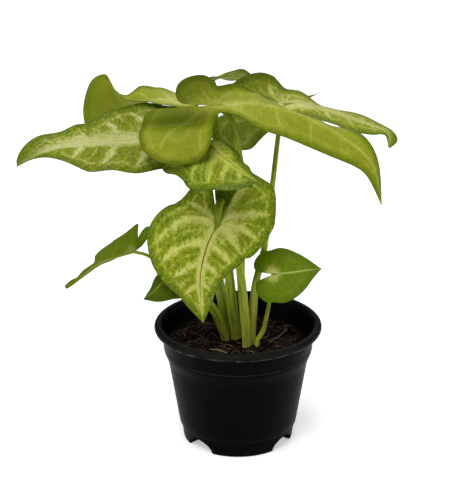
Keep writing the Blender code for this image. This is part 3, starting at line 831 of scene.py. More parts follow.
@dataclass
class Leaf:
    """A blade on a bent midrib, and the stalk that carries it from the soil, as one piece."""
    node: str
    midrib: tuple
    up_base: Point
    up_tip: Point
    left: Half
    right: Half
    foot: tuple
    stalk: tuple
    foot_r: float
    neck_r: float
    finish: BladeFinish = BladeFinish()
    stalk_finish: StalkFinish = StalkFinish()
    slot: str = "leaf_lime"
    rows: int = 150
    columns: int = 38
    vein_count: float = 5.0
    quilt: float = 0.35

    THICKNESS = 0.5
    EDGE_THICKNESS = 0.28
    STALK_FOOT = 66.0
    STALK_STRAIGHT_TOP = 84.0
    KEEL_LENGTH = 14.0
    SIDES = 20
    RINGS = 70
    SHARP = 55.0
    SEED_STEP = 37.0
    READ = ("vein", "span", "edge", "rib", "along", "deep", "under")

    # These layers come last, because one that is taken out shifts the values of those behind it
    SIDE_HEIGHTS = ("lift", "drop")

    # Depths and half breadths of the veins in millimetres, and how far in from the margin they fade
    SUNK_VEIN, SUNK_VEIN_HALF = 0.16, 0.7
    RAISED_VEIN, RAISED_VEIN_HALF = 0.30, 0.55
    SUNK_RIB, SUNK_RIB_HALF = 0.32, 0.9
    VEIN_FADE = 12.0
    EDGE_THINNING = 5.0
    QUILT_CALM = 8.0
    QUILT_FULL_SPAN = 6.0

    # Shares of a stalk's radius, angles from its groove in radians, and places along it from 0 to 1
    GROOVE, GROOVE_SPREAD = 0.16, 0.45
    WINGS, WING_ANGLE, WING_SPREAD = 0.24, 0.95, 0.35
    SHEATH_PLACE, SHEATH_SPREAD = 0.18, 0.22
    SKIN_STRETCH = 0.05

    def __post_init__(self) -> None:
        """Read the midrib: its points, directions and length."""
        self.spine = smooth_path(self.midrib, 60)
        self.length = float(np.linalg.norm(np.diff(self.spine, axis=0), axis=1).sum())
        padded = np.vstack([2 * self.spine[0] - self.spine[1], self.spine, 2 * self.spine[-1] - self.spine[-2]])
        self.tangents = unit(padded[2:] - padded[:-2])

    def frames(self, places: np.ndarray) -> tuple[np.ndarray, np.ndarray, np.ndarray]:
        """Centre, tangent and upward normal of the midrib.

        Args:
            places: Places from 0 at the stalk to 1 at the tip.

        Returns:
            Three arrays of vectors.
        """
        run = np.clip(places, 0.0, 1.0) * (len(self.spine) - 1)
        index = np.arange(len(self.spine))
        centre = np.stack([np.interp(run, index, self.spine[:, k]) for k in range(3)], axis=1)
        tangent = unit(np.stack([np.interp(run, index, self.tangents[:, k]) for k in range(3)], axis=1))
        share = np.maximum(places, 0.0)[:, None]
        up = unit(self.up_base) * (1 - share) + unit(self.up_tip) * share
        up = up - tangent * np.sum(up * tangent, axis=1, keepdims=True)
        return centre, tangent, unit(up)

    def placed(self, half: Half, sign: float, flat: np.ndarray, q: np.ndarray,
               r: np.ndarray) -> tuple[np.ndarray, np.ndarray]:
        """Flat points of one half brought to their place in space.

        Args:
            half: The half.
            sign: 1 for the left half and -1 for the right.
            flat: Flat points.
            q: Place along the margin of the line that each point is on.
            r: Share of the way along that line.

        Returns:
            The points and the upper side's normals.
        """
        x, y = flat[:, 0], flat[:, 1]
        centre, tangent, up = self.frames(x / self.length)
        side = np.cross(up, tangent) * sign
        behind = (x < 0)[:, None]
        if half.back:
            bend = (math.radians(half.back) * np.maximum(-x, 0) / half.lobe)[:, None]
            radius = half.lobe / math.radians(half.back)
            bent = self.spine[0] - tangent * radius * np.sin(bend) - up * radius * (1 - np.cos(bend))
            centre = np.where(behind, bent, centre)
            up = np.where(behind, up * np.cos(bend) - tangent * np.sin(bend), up)
        else:
            centre = np.where(behind, self.spine[0] + tangent * x[:, None], centre)
        place = np.where(x > 0, x / self.length, x / half.lobe)
        start = np.radians(eased(half.fold, place))
        wide = np.full(len(x), float(half.width))
        if half.lobe_width:
            wide += np.where(x < 0, (half.lobe_width - half.width) * np.minimum(1.0, -4 * place), 0.0)
        turn = np.radians(eased(half.curl, place)) / wide
        turn = np.where(np.abs(turn) < 1e-6, 1e-6, turn)
        end = start + turn * y
        out = (np.sin(end) - np.sin(start)) / turn
        rise = (np.cos(start) - np.cos(end)) / turn
        normal = up * np.cos(end)[:, None] - side * np.sin(end)[:, None]
        ripple = half.wave * r ** 2 * np.sin(2 * np.pi * (half.wave_count * q + half.wave_start))
        ripple *= np.minimum(1.0, 6 * q)
        ripple -= half.furrow_depth * half.furrow(self.length, flat)
        return centre + side * out[:, None] + up * rise[:, None] + normal * ripple[:, None], normal

    def surface(self, column: np.ndarray, row: np.ndarray, columns: int, rows: int) -> dict[str, np.ndarray]:
        """Everything about the points of the blade's grid.

        Args:
            column: Column of each point, negative on the right half.
            row: Row of each point from the tip.
            columns: Columns in one half.
            rows: Rows.

        Returns:
            Arrays for the place, the normal and what the finish reads.
        """
        size = len(column)
        data = {"place": np.zeros((size, 3)), "normal": np.zeros((size, 3)), "flat": np.zeros((size, 3))}
        data |= {name: np.zeros(size) for name in ("vein", "span", "edge", "deep", "under")}
        for half, sign, chosen in ((self.left, 1, column > 0), (self.right, -1, column <= 0)):
            q, r = row[chosen] / rows, np.abs(column[chosen]) / columns
            flat = half.flat_points(self.length, q, r, rows)
            data["place"][chosen], data["normal"][chosen] = self.placed(half, sign, flat, q, r)
            data["flat"][chosen] = np.stack([flat[:, 0], flat[:, 1] * sign, np.zeros(len(flat))], axis=1)
            data["vein"][chosen], data["span"][chosen] = half.veins(self.length, flat, self.vein_count)
            data["edge"][chosen] = line_distance(flat, half.margin_line(self.length, 90))
            # Painted shade: on the lobe and the blade's base, in a band along the furrow, and on the part that
            # crosses behind the other lobe
            lobe = np.clip(1 - flat[:, 0] / (0.15 * self.length), 0, 1)
            shade = half.furrow(self.length, flat, -0.1, 1.9)
            shade = shade * np.clip(1.15 + flat[:, 0] / half.lobe, 0, 0.5) * 2
            tucked_shade_share = half.tuck * np.clip(1.2 - 0.6 * flat[:, 1], 0, 1) * (flat[:, 0] < -1.0)
            data["deep"][chosen] = half.deep * lobe + half.furrow_deep * shade + tucked_shade_share
        x, y = data["flat"][:, 0], data["flat"][:, 1]
        data["rib"] = np.hypot(np.minimum(x, 0), y)
        data["along"] = np.clip(x / self.length, 0, 1)
        return data

    def quilting(self, data: dict[str, np.ndarray]) -> np.ndarray:
        """How far the blade swells between its main veins.

        Args:
            data: What surface() gives.

        Returns:
            Millimetres for each point.
        """
        between = 0.5 - 0.5 * np.cos(2 * np.pi * data["vein"])
        calm = np.clip(data["edge"] / self.QUILT_CALM, 0, 1) * np.clip(data["rib"] / self.QUILT_CALM, 0, 1)
        return self.quilt * between * calm * np.clip(data["span"] / self.QUILT_FULL_SPAN, 0, 1)

    def blade_shape(self) -> Shape:
        """The blade as a closed thin body: veins sunk in its upper side and raised under it.

        Returns:
            The shape in millimetres, with the values that its finish reads.
        """
        rows, columns = self.rows, self.columns
        shape = bmesh.new()
        bmesh.ops.create_grid(shape, x_segments=2 * columns, y_segments=rows, size=1.0)
        shape.verts.ensure_lookup_table()
        corners = np.array([v.co for v in shape.verts])
        column = np.round(corners[:, 0] * columns)
        row = np.round((1 - corners[:, 1]) / 2 * rows)
        data = self.surface(column, row, columns, rows)
        data["lift"], data["drop"] = self.skins(data)
        data["facing"] = data["normal"]
        numbers, vectors = shape.verts.layers.float, shape.verts.layers.float_vector
        layers = [(name, numbers.new(name)) for name in (*self.READ, *self.SIDE_HEIGHTS)]
        layers += [(name, vectors.new(name)) for name in ("flat", "facing")]
        middle = data["place"] + data["normal"] * self.quilting(data)[:, None]
        for k, vertex in enumerate(shape.verts):
            vertex.co = middle[k]
            for name, layer in layers:
                vertex[layer] = data[name][k]
        bmesh.ops.remove_doubles(shape, verts=shape.verts, dist=0.001)
        self.thicken(shape)
        return shape

    def thicken(self, shape: Shape) -> None:
        """Give a sheet its upper and lower side, by its layers lift, drop and facing, and close its rim.

        Args:
            shape: The sheet.
        """
        copied = bmesh.ops.duplicate(shape, geom=[*shape.verts, *shape.edges, *shape.faces])["geom"]
        lower = [item for item in copied if isinstance(item, bmesh.types.BMFace)]
        bmesh.ops.reverse_faces(shape, faces=lower)
        under_verts = {vertex for face in lower for vertex in face.verts}
        numbers, facing = shape.verts.layers.float, shape.verts.layers.float_vector["facing"]
        under, lift, drop = (numbers[name] for name in ("under", *self.SIDE_HEIGHTS))
        for vertex in shape.verts:
            beneath = vertex in under_verts
            vertex[under] = float(beneath)
            vertex.co += Vector(vertex[facing]) * (-vertex[drop] if beneath else vertex[lift])
        for name in self.SIDE_HEIGHTS:
            numbers.remove(numbers[name])
        bmesh.ops.bridge_loops(shape, edges=[edge for edge in shape.edges if edge.is_boundary])
        bmesh.ops.recalc_face_normals(shape, faces=shape.faces)

    def skins(self, data: dict[str, np.ndarray]) -> tuple[np.ndarray, np.ndarray]:
        """Height of the upper and the lower side from the middle of the blade.

        Args:
            data: What surface() gives.

        Returns:
            The two heights in millimetres.
        """
        inward = np.clip(data["edge"] / self.EDGE_THINNING, 0, 1)
        body = self.EDGE_THICKNESS + (self.THICKNESS - self.EDGE_THICKNESS) * inward
        off = np.abs((data["vein"] + 0.5) % 1.0 - 0.5) * data["span"]
        fading = np.clip(data["edge"] / self.VEIN_FADE, 0, 1)
        ahead = 1 - data["along"]
        sunk = self.SUNK_VEIN * np.exp(-(off / self.SUNK_VEIN_HALF) ** 2) * fading
        sunk = sunk + self.SUNK_RIB * np.exp(-(data["rib"] / self.SUNK_RIB_HALF) ** 2) * ahead ** 0.5
        rib_r = 0.25 + self.neck_r * 0.75 * ahead ** 1.3
        rib = rib_r * np.sqrt(np.clip(1 - (data["rib"] / (rib_r * 1.15)) ** 2, 0, 1))
        raised = self.RAISED_VEIN * np.exp(-(off / self.RAISED_VEIN_HALF) ** 2) * fading
        raised = np.maximum(raised, rib * np.clip(data["edge"] / 2.0, 0, 1))
        return body / 2 - sunk, body / 2 + raised

    def stalk_line(self) -> tuple[np.ndarray, np.ndarray, np.ndarray]:
        """Centre line of the stalk from its foot in the soil to the keel under the midrib.

        Returns:
            Points, radii, and how far along each point is from 0 to 1.
        """
        centre, _, up = self.frames(np.array([0.0, 0.5 * self.KEEL_LENGTH / self.length,
                                              self.KEEL_LENGTH / self.length]))
        x, y = self.foot
        rising = [(x, y, self.STALK_STRAIGHT_TOP), *self.stalk, centre[0] - up[0] * self.neck_r * 0.55]
        path = smooth_path(rising, self.RINGS)
        share = np.linspace(0, 1, self.RINGS)
        radii = self.foot_r + (self.neck_r - self.foot_r) * share ** 0.7
        keel = [centre[1] - up[1] * self.neck_r * 0.70, centre[2] - up[2] * self.neck_r * 0.55]
        foot = np.array([(x, y, self.STALK_FOOT), (x, y, 0.5 * (self.STALK_FOOT + self.STALK_STRAIGHT_TOP))])
        path = np.vstack([foot, path, keel])
        radii = np.concatenate([[self.foot_r] * 2, radii, [self.neck_r * 0.62, self.neck_r * 0.30]])
        return path, radii, np.concatenate([[0.0, 0.0], share, [1.0, 1.0]])

    def stalk_shape(self) -> Shape:
        """The stalk as a closed tube, grooved along one side, with the wings of its sheath near the foot.

        Returns:
            The shape in millimetres, with the values that its finish reads.
        """
        path, radii, share = self.stalk_line()
        count = len(path) - 1
        directions = unit(np.gradient(path, axis=0))
        reference = self.side_reference(path)
        shape = bmesh.new()
        bmesh.ops.create_grid(shape, x_segments=self.SIDES, y_segments=count, size=1.0)
        along_layer = shape.verts.layers.float.new("along")
        skin_layer = shape.verts.layers.float_vector.new("skin")
        run = np.concatenate([[0.0], np.cumsum(np.linalg.norm(np.diff(path, axis=0), axis=1))])
        for vertex in shape.verts:
            ring = round((1 - vertex.co.y) / 2 * count)
            angle = math.pi * (vertex.co.x + 1)
            across = unit(reference - directions[ring] * np.dot(reference, directions[ring]))
            beside = np.cross(directions[ring], across)
            from_groove = abs(angle - math.pi)
            sheath = math.exp(-((share[ring] - self.SHEATH_PLACE) / self.SHEATH_SPREAD) ** 2)
            groove = self.GROOVE * math.exp(-(from_groove / self.GROOVE_SPREAD) ** 2) * (0.4 + 0.6 * sheath)
            wings = self.WINGS * sheath * math.exp(-((from_groove - self.WING_ANGLE) / self.WING_SPREAD) ** 2)
            wings *= min(1.0, 8 * share[ring])
            radius = radii[ring] * (1 - groove + wings)
            vertex.co = path[ring] + (across * math.cos(angle) + beside * math.sin(angle)) * radius
            vertex[along_layer] = share[ring]
            turn = (radii[ring] * math.cos(angle), radii[ring] * math.sin(angle))
            vertex[skin_layer] = (*turn, run[ring] * self.SKIN_STRETCH)
        bmesh.ops.remove_doubles(shape, verts=shape.verts, dist=0.001)
        ends = [edge for edge in shape.edges if edge.is_boundary]
        bmesh.ops.holes_fill(shape, edges=ends, sides=0)
        bmesh.ops.recalc_face_normals(shape, faces=shape.faces)
        return shape

    def side_reference(self, path: np.ndarray) -> np.ndarray:
        """Direction across the stalk that its rings start from: level, and square to the way it leans.

        Args:
            path: Points of the stalk.

        Returns:
            A unit vector.
        """
        lean = path[-1] - path[0]
        away = np.array([lean[0], lean[1], 0.0])
        if np.linalg.norm(away) < 5.0:
            away = np.array([0.0, 1.0, 0.0])
        return unit(np.array([-away[1], away[0], 0.0]))

    def build(self, number: int, blade: BladePattern, skin: StalkSkin) -> None:
        """Blade and stalk as one piece with both finishes.

        Args:
            number: Place in the table of leaves.
            blade: The shared blade pattern.
            skin: The shared stalk skin.
        """
        shape = self.blade_shape()
        blade_faces = len(shape.faces)
        stalk = closed_up(self.stalk_shape(), "stalk")
        shape.from_mesh(stalk)
        bpy.data.meshes.remove(stalk)
        shape.faces.ensure_lookup_table()
        for face in shape.faces[blade_faces:]:
            face.material_index = 1
        plain = self.node.removeprefix("leaf_")
        finishes = [self.finish.build(f"blade_{plain}", blade, self.SEED_STEP * number),
                    self.stalk_finish.build(f"stalk_{plain}", skin)]
        add_piece(f"foliage_{plain}", shape, self.SHARP, finishes, self.slot, self.node)


GOLDEN = BladeFinish()
LEFT_LONG = BladeFinish(cream=paint(178, 176, 116), lime=paint(124, 134, 14), green=paint(78, 92, 0),
                        rib=paint(184, 182, 130), band_left=2.5, band_right=7.0, tip=0.85)
SMOOTH = BladeFinish(Variegation.SMOOTH, cream=paint(188, 186, 112), lime=paint(146, 152, 42),
                     green=paint(90, 102, 0), vein=paint(182, 180, 96), rib=paint(176, 176, 92),
                     band_left=2.0, band_right=2.0)
PALE = BladeFinish(Variegation.PALE, cream=paint(182, 180, 110), lime=paint(138, 146, 38),
                   green=paint(84, 98, 8), rib=paint(150, 138, 84), band_left=3.0, band_right=3.0)
SHADED = BladeFinish(cream=paint(162, 168, 62), lime=paint(114, 130, 8), green=paint(68, 88, 0))
PLAIN = BladeFinish(Variegation.PLAIN, cream=paint(190, 194, 112), lime=paint(120, 136, 6),
                    green=paint(84, 106, 0), under=paint(92, 106, 16), vein=paint(150, 162, 66),
                    rib=paint(176, 182, 100), rib_line=0.6, band_left=0.9, band_right=0.9, splash=0.9)
# The plain finish painted darker throughout: painted shade for the low leaf that sits under the others
PLAIN_IN_PAINTED_SHADE = BladeFinish(Variegation.PLAIN, cream=paint(124, 132, 52), lime=paint(92, 106, 6),
                     green=paint(62, 78, 0), under=paint(70, 84, 10), vein=paint(120, 128, 56),
                     rib=paint(128, 136, 62), rib_line=0.6, band_left=0.9, band_right=0.9, splash=0.4)
SHADED_NECK = StalkFinish(high=paint(106, 120, 10))

LEAVES = (
    Leaf("leaf_left_long",
         ((-41, 6, 243), (-72, 0, 242), (-118, -14, 244), (-141, -20, 241), (-162, -26, 231)),
         (0, -0.5, 0.87), (-0.2, -0.45, 0.87),
         Half(26, 27, ((-1, -15), (0, -5), (1, 0)), ((-1, -40), (0, -10), (0.6, -10), (1, 0)), 0.8, 5, 0.1,
              margin=((128, 0), (116, 1.5), (105, 6), (95, 14), (85, 21), (75, 26), (58, 26), (40, 28), (21, 26),
                      (5, 24), (-12, 21), (-24, 16), (-27, 9), (-20, 3))),
         Half(30, 17, ((-1, 0), (0, 8), (1, 16)), ((-1, 0), (0, 5), (1, 0)), 1.2, 6, 0.3, vein_start=0.3,
              margin=((128, 0), (125, 6), (117, 12), (104, 14), (90, 14), (79, 17), (70, 19), (57, 26), (45, 31),
                      (30, 34), (12, 32), (-4, 25), (-14, 17), (-17, 10), (-12, 4))),
         (-9, 7), ((-14.5, 3, 120), (-25, 2, 167), (-35, 4, 211)), 3.2, 2.0, LEFT_LONG, rows=170),
    Leaf("leaf_back_left",
         ((-44, 34, 264), (-67, 40, 262.5), (-84, 43, 256), (-103, 43, 249), (-119, 41, 241)),
         (0, -0.1, 1), (-0.3, 0, 1),
         Half(31, 17, ((-1, 0), (0, 2), (0.12, 5), (0.3, 18), (0.42, 26), (0.51, 45), (0.62, 84), (1, 80)),
              ((-1, -10), (0, 0), (0.5, 10), (1, 10)), 0.8, 3, 0.1,
              margin=((79, 0), (75.5, 9), (70, 18), (61, 29), (55, 31.5), (49, 30.5), (42, 27.5), (34, 24),
                      (26, 20.5), (18, 17.5), (10, 15.5), (2, 14), (-6, 14), (-13, 12), (-17, 8), (-13, 3))),
         Half(25, 23, ((-1, -15), (0, -12), (0.3, 1), (0.44, 15), (0.55, 10), (0.72, 45), (1, 60)),
              ((-1, 0), (1, 0)), 0.8, 4, 0.3, vein_start=0.4,
              margin=((79, 0), (74, 6), (66, 13), (56, 19), (44, 23), (32, 25), (18, 25), (4, 24), (-8, 22),
                      (-18, 17), (-23, 10), (-16, 3))),
         (-2.5, 13.5), ((-13, 22, 117), (-26, 37, 180), (-36, 43, 235)), 2.6, 1.7, SMOOTH),
    Leaf("leaf_right_long",
         ((-14, -10, 273), (15, -13, 275), (45, -18, 269), (74, -24, 255), (98, -28, 234), (106, -30, 202)),
         (0, 0, 1), (0.7, -0.5, 0.5),
         Half(21, 31, ((-1, 42), (0.02, 32), (0.15, 6), (0.22, -8), (0.35, -28), (0.5, -18), (0.72, 15), (1, 0)),
              ((-1, 90), (0.03, 80), (0.16, 0), (0.3, -10), (1, -10)), 1.2, 4, 0.3, 0.25, lobe_width=24,
              blunt=0.5, waist=0.25, deep=0.45),
         Half(23, 56, ((-1, -10), (-0.3, -10), (0.06, -6), (0.3, -15), (0.6, -35), (1, -40)),
              ((-1, -85), (-0.3, -85), (0.05, -15), (0.4, -20), (1, -16)), 1.2, 4, 0.1, 0.28,
              lobe_width=47, blunt=0.8, waist=0.50, furrow_depth=6, furrow_place=0.32, furrow_deep=0.75,
              vein_start=0.4),
         (6.5, 4.5), ((2.5, 7, 128), (4, 4, 195), (1, -2, 233), (-5, -8, 261)), 3.4, 2.2, SMOOTH, rows=180,
         vein_count=6.0),
    Leaf("leaf_right_back",
         ((35.5, 22, 265), (47, 22, 265.5), (69, 22, 260.5), (88, 20, 254), (105, 18, 248), (113.5, 14, 243),
          (113.5, 10, 234)),
         (0, 0.1, 1), (0.35, -0.1, 0.88),
         Half(17, 42, ((-1, 36), (-0.2, 32), (0.08, 5), (0.3, -8), (1, 0)),
              ((-1, 45), (0, 40), (0.4, 0), (1, 0)), 1.2, 4, 0.3, deep=0.40,
              margin=((94.5, 0), (90, 5), (84, 10), (76, 13), (64, 15), (48, 17), (32, 17), (16, 16), (2, 18),
                      (-8, 24), (-17, 27), (-27, 26), (-35, 22), (-41, 17), (-38, 12.5), (-33, 9.5), (-21, 5.5),
                      (-12, 2.7))),
         Half(17, 39, ((-1, -80), (-0.15, -60), (0.1, -35), (0.5, -20), (1, -10)),
              ((-1, -20), (0, -5), (1, 0)), 1.2, 4, 0.1, vein_start=0.4,
              margin=((94.5, 0), (88, 2), (82, 5), (74, 11), (60, 14), (42, 17), (28, 15), (16, 11), (6, 11),
                      (-5, 16), (-13, 20), (-21, 26), (-30, 35), (-42, 37), (-53, 29), (-57.5, 17), (-50, 6),
                      (-26, 1))),
         (10.5, -4), ((12.7, -3, 125), (20, 3, 156), (26, 12, 202), (31, 19, 245)), 3.2, 1.7, PALE, rows=170),
    Leaf("leaf_back",
         ((-22, 48, 275.5), (-13, 56, 277.5), (4, 66, 274), (28, 71, 264), (49, 70, 257.5), (60, 67, 259.5),
          (64.5, 65, 263)),
         (-0.2, 0.38, 0.90), (0, 0.36, 0.93),
         Half(13, 10, ((-1, 0), (1, 0)), ((-1, 10), (1, 0)), 1.6, 4, 0.3, 0.30),
         Half(13, 10, ((-1, 0), (1, 0)), ((-1, 10), (1, 0)), 1.6, 4, 0.6, 0.30, vein_start=0.4),
         (4.5, 15), ((-1, 26, 148), (-9, 37, 215), (-19, 44, 260)), 2.6, 1.6, GOLDEN),
    Leaf("leaf_middle_front",
         ((-20, -22, 245), (-6, -36, 238), (3, -46, 234), (15, -54, 229)),
         (-0.1, -0.55, 0.83), (0.2, -0.6, 0.75),
         Half(20, 16, ((-1, -40), (0, -30), (1, -20)), ((-1, -20), (1, 0)), 0.8, 4, 0.3,
              margin=((50, 0), (46, 3.5), (40, 6.5), (33, 9), (21, 13), (12, 17), (2, 20), (-8, 20), (-15, 15),
                      (-16, 9), (-12, 3))),
         Half(36, 22, ((-1, -10), (0, 0), (1, -5)), ((-1, -20), (0, -25), (1, -10)), 0.8, 5, 0.1, vein_start=0.3,
              margin=((50, 0), (47, 7), (41, 15), (34, 23), (25, 31), (14, 35), (4, 33), (-4, 33), (-13, 36),
                      (-21, 34), (-25, 26), (-24, 16), (-18, 8), (-10, 3))),
         (6.8, -11), ((3, -12, 135), (-6, -11, 198), (-15, -14.5, 228)), 3.6, 2.3, SHADED, vein_count=4.0),
    Leaf("leaf_front_heart",
         ((-15, -32, 188), (-23, -40, 174), (-28, -46, 150), (-26, -47, 115)),
         (0.08, -0.85, 0.5), (0, -0.95, 0.25),
         Half(40, 47, ((-1, 8), (0, 5), (1, 0)), ((-1, -25), (0, -25), (1, -10)), 0.8, 4, 0.3, back=-25,
              margin=((78.5, 0), (73, 3), (63, 8), (49, 14), (39, 19), (28, 26), (17, 31), (8, 34), (-2, 37),
                      (-12, 38), (-22, 37), (-42, 26), (-46, 14), (-45, -5), (-37, -15.5), (-21, -13.5)),
              tuck=1.1),
         Half(42, 26, ((-1, 8), (0, 5), (1, 0)), ((-1, -25), (0, -25), (1, -10)), 0.8, 4, 0.1, back=-10,
              margin=((78.5, 0), (73, 4), (65, 10), (55, 17), (46, 27), (37, 37), (26, 44), (16, 45), (6, 40),
                      (-5, 33), (-15, 30), (-23, 26), (-26, 20), (-20, 14), (-12, 9))),
         (-1.5, 3.5), ((-7, -7, 140), (-10.5, -17, 183), (-12, -20.5, 197), (-13, -26, 204), (-14.5, -31.5, 199)),
         4.4, 3.0, GOLDEN, SHADED_NECK, rows=170, columns=42),
    Leaf("leaf_small_right",
         ((26, -14, 141), (40, -15, 143), (53, -15, 145), (63.5, -15, 146)),
         (0, -0.85, 0.5), (0, -0.8, 0.6),
         Half(18.5, 13.5, ((-1, 5), (0, 5), (1, 0)), ((-1, -15), (1, 0)), 0.4, 3, 0.3, 0.22),
         Half(21.5, 13.5, ((-1, 5), (0, 5), (1, 0)), ((-1, -15), (1, 0)), 0.4, 3, 0.1, 0.20, vein_start=0.3),
         (15, -8), ((19.5, -8, 92), (21.5, -8.5, 101), (24, -10, 117), (25, -10.5, 130)), 2.0, 1.1,
         PLAIN, slot="leaf_green", rows=100, columns=26, vein_count=4.0, quilt=0.2),
    Leaf("leaf_small_left",
         ((-78.5, -18.5, 161.5), (-90, -22, 159), (-105, -25, 154), (-129, -28, 135)),
         (-0.2, 0.95, 0.1), (-0.35, 0.85, 0.35),
         Half(24, 9, ((-1, 0), (1, 0)), ((-1, 0), (1, 0)), 0.3, 3, 0.3,
              margin=((60, 0), (58, 3.5), (52, 4), (47, 2.5), (41, 3.5), (35, 3), (30, 3), (27, 7.5),
                      (23, 10), (16, 13), (8, 15.5), (0, 18.5), (-6, 21.5), (-8, 21), (-6.5, 15), (-5.5, 9),
                      (-4.5, 5))),
         Half(14, 18, ((-1, 125), (0, 80), (0.4, 25), (1, 20)), ((-1, 0), (1, 0)), 0.3, 3, 0.1, vein_start=0.3,
              margin=((60, 0), (54, 2), (40, 2.5), (30, 3.5), (21, 5), (12, 6), (4, 8), (-4, 12), (-11, 16),
                      (-17, 17), (-19, 14), (-14, 8), (-7, 3))),
         (-11, 0.8), ((-20.5, -1.5, 107), (-44, -9, 135), (-66, -16, 156)), 2.7, 1.2,
         PLAIN, slot="leaf_green", rows=110, columns=22, vein_count=4.0, quilt=0.15),
    Leaf("leaf_lower_left",
         ((-45, -27, 146.6), (-55, -31, 142.5), (-63, -34, 135.6), (-71, -36, 129.6)),
         (-0.3, -0.6, 0.74), (-0.3, -0.6, 0.74),
         Half(17, 12, ((-1, 5), (1, 0)), ((-1, -15), (1, 0)), 0.4, 3, 0.3, 0.40),
         Half(10, 10, ((-1, 5), (1, 0)), ((-1, -15), (1, 0)), 0.4, 3, 0.1, 0.10, vein_start=0.3),
         (-8.6, -4.4), ((-12.5, -7.5, 101), (-18.5, -12, 115), (-35, -22, 139)), 1.7, 0.9,
         PLAIN_IN_PAINTED_SHADE, slot="leaf_green", rows=90, columns=24, vein_count=4.0, quilt=0.2),
)


# Pot


def turned(profile: list[tuple[float, float]], steps: int) -> Shape:
    """A closed body of revolution.

    Args:
        profile: (radius, height) points down the outer side, from axis to axis.
        steps: Steps round the axis.

    Returns:
        The shape in millimetres.
    """
    shape = bmesh.new()
    corners = [shape.verts.new((radius, 0.0, height)) for radius, height in profile]
    edges = [shape.edges.new(pair) for pair in zip(corners[:-1], corners[1:])]
    bmesh.ops.spin(shape, geom=[*corners, *edges], cent=(0, 0, 0), axis=(0, 0, 1), angle=math.tau, steps=steps,
                   use_merge=True)
    bmesh.ops.remove_doubles(shape, verts=shape.verts, dist=0.001)
    bmesh.ops.recalc_face_normals(shape, faces=shape.faces)
    return shape


def rod(start: Vector, end: Vector, oval: tuple[float, float], segments: int) -> Shape:
    """A closed oval rod between two points.

    Args:
        start: Centre of one end.
        end: Centre of the other end.
        oval: Half its width, and half its height where it lies level.
        segments: Sides.

    Returns:
        The shape in millimetres.
    """
    shape = bmesh.new()
    along = end - start
    matrix = Matrix.Translation((start + end) / 2) @ along.to_track_quat("Z", "Y").to_matrix().to_4x4()
    matrix @= Matrix.Diagonal((*oval, 1.0, 1.0))
    bmesh.ops.create_cone(shape, cap_ends=True, segments=segments, radius1=1.0, radius2=1.0, depth=along.length,
                          matrix=matrix)
    return shape


def cut(target: Shape, tools: list[Shape], name: str) -> Shape:
    """A body less several others, cut one after another.

    Args:
        target: The body.
        tools: Bodies to take away. All are freed.
        name: Name of what is cut.

    Returns:
        The cut body.
    """
    bodies = []
    for number, shape in enumerate((target, *tools)):
        label = f"{name}_{number}"
        bodies.append(add_object(label, closed_up(shape, label)))
    body, *others = bodies
    for tool in others:
        modifier = body.modifiers.new(tool.name, "BOOLEAN")
        modifier.operation = "DIFFERENCE"
        modifier.solver = "EXACT"
        modifier.object = tool
    bpy.context.view_layer.update()
    evaluated = body.evaluated_get(bpy.context.evaluated_depsgraph_get())
    result = bpy.data.meshes.new_from_object(evaluated)
    for obj in bodies:
        bpy.data.objects.remove(obj)
    return reopened(result)


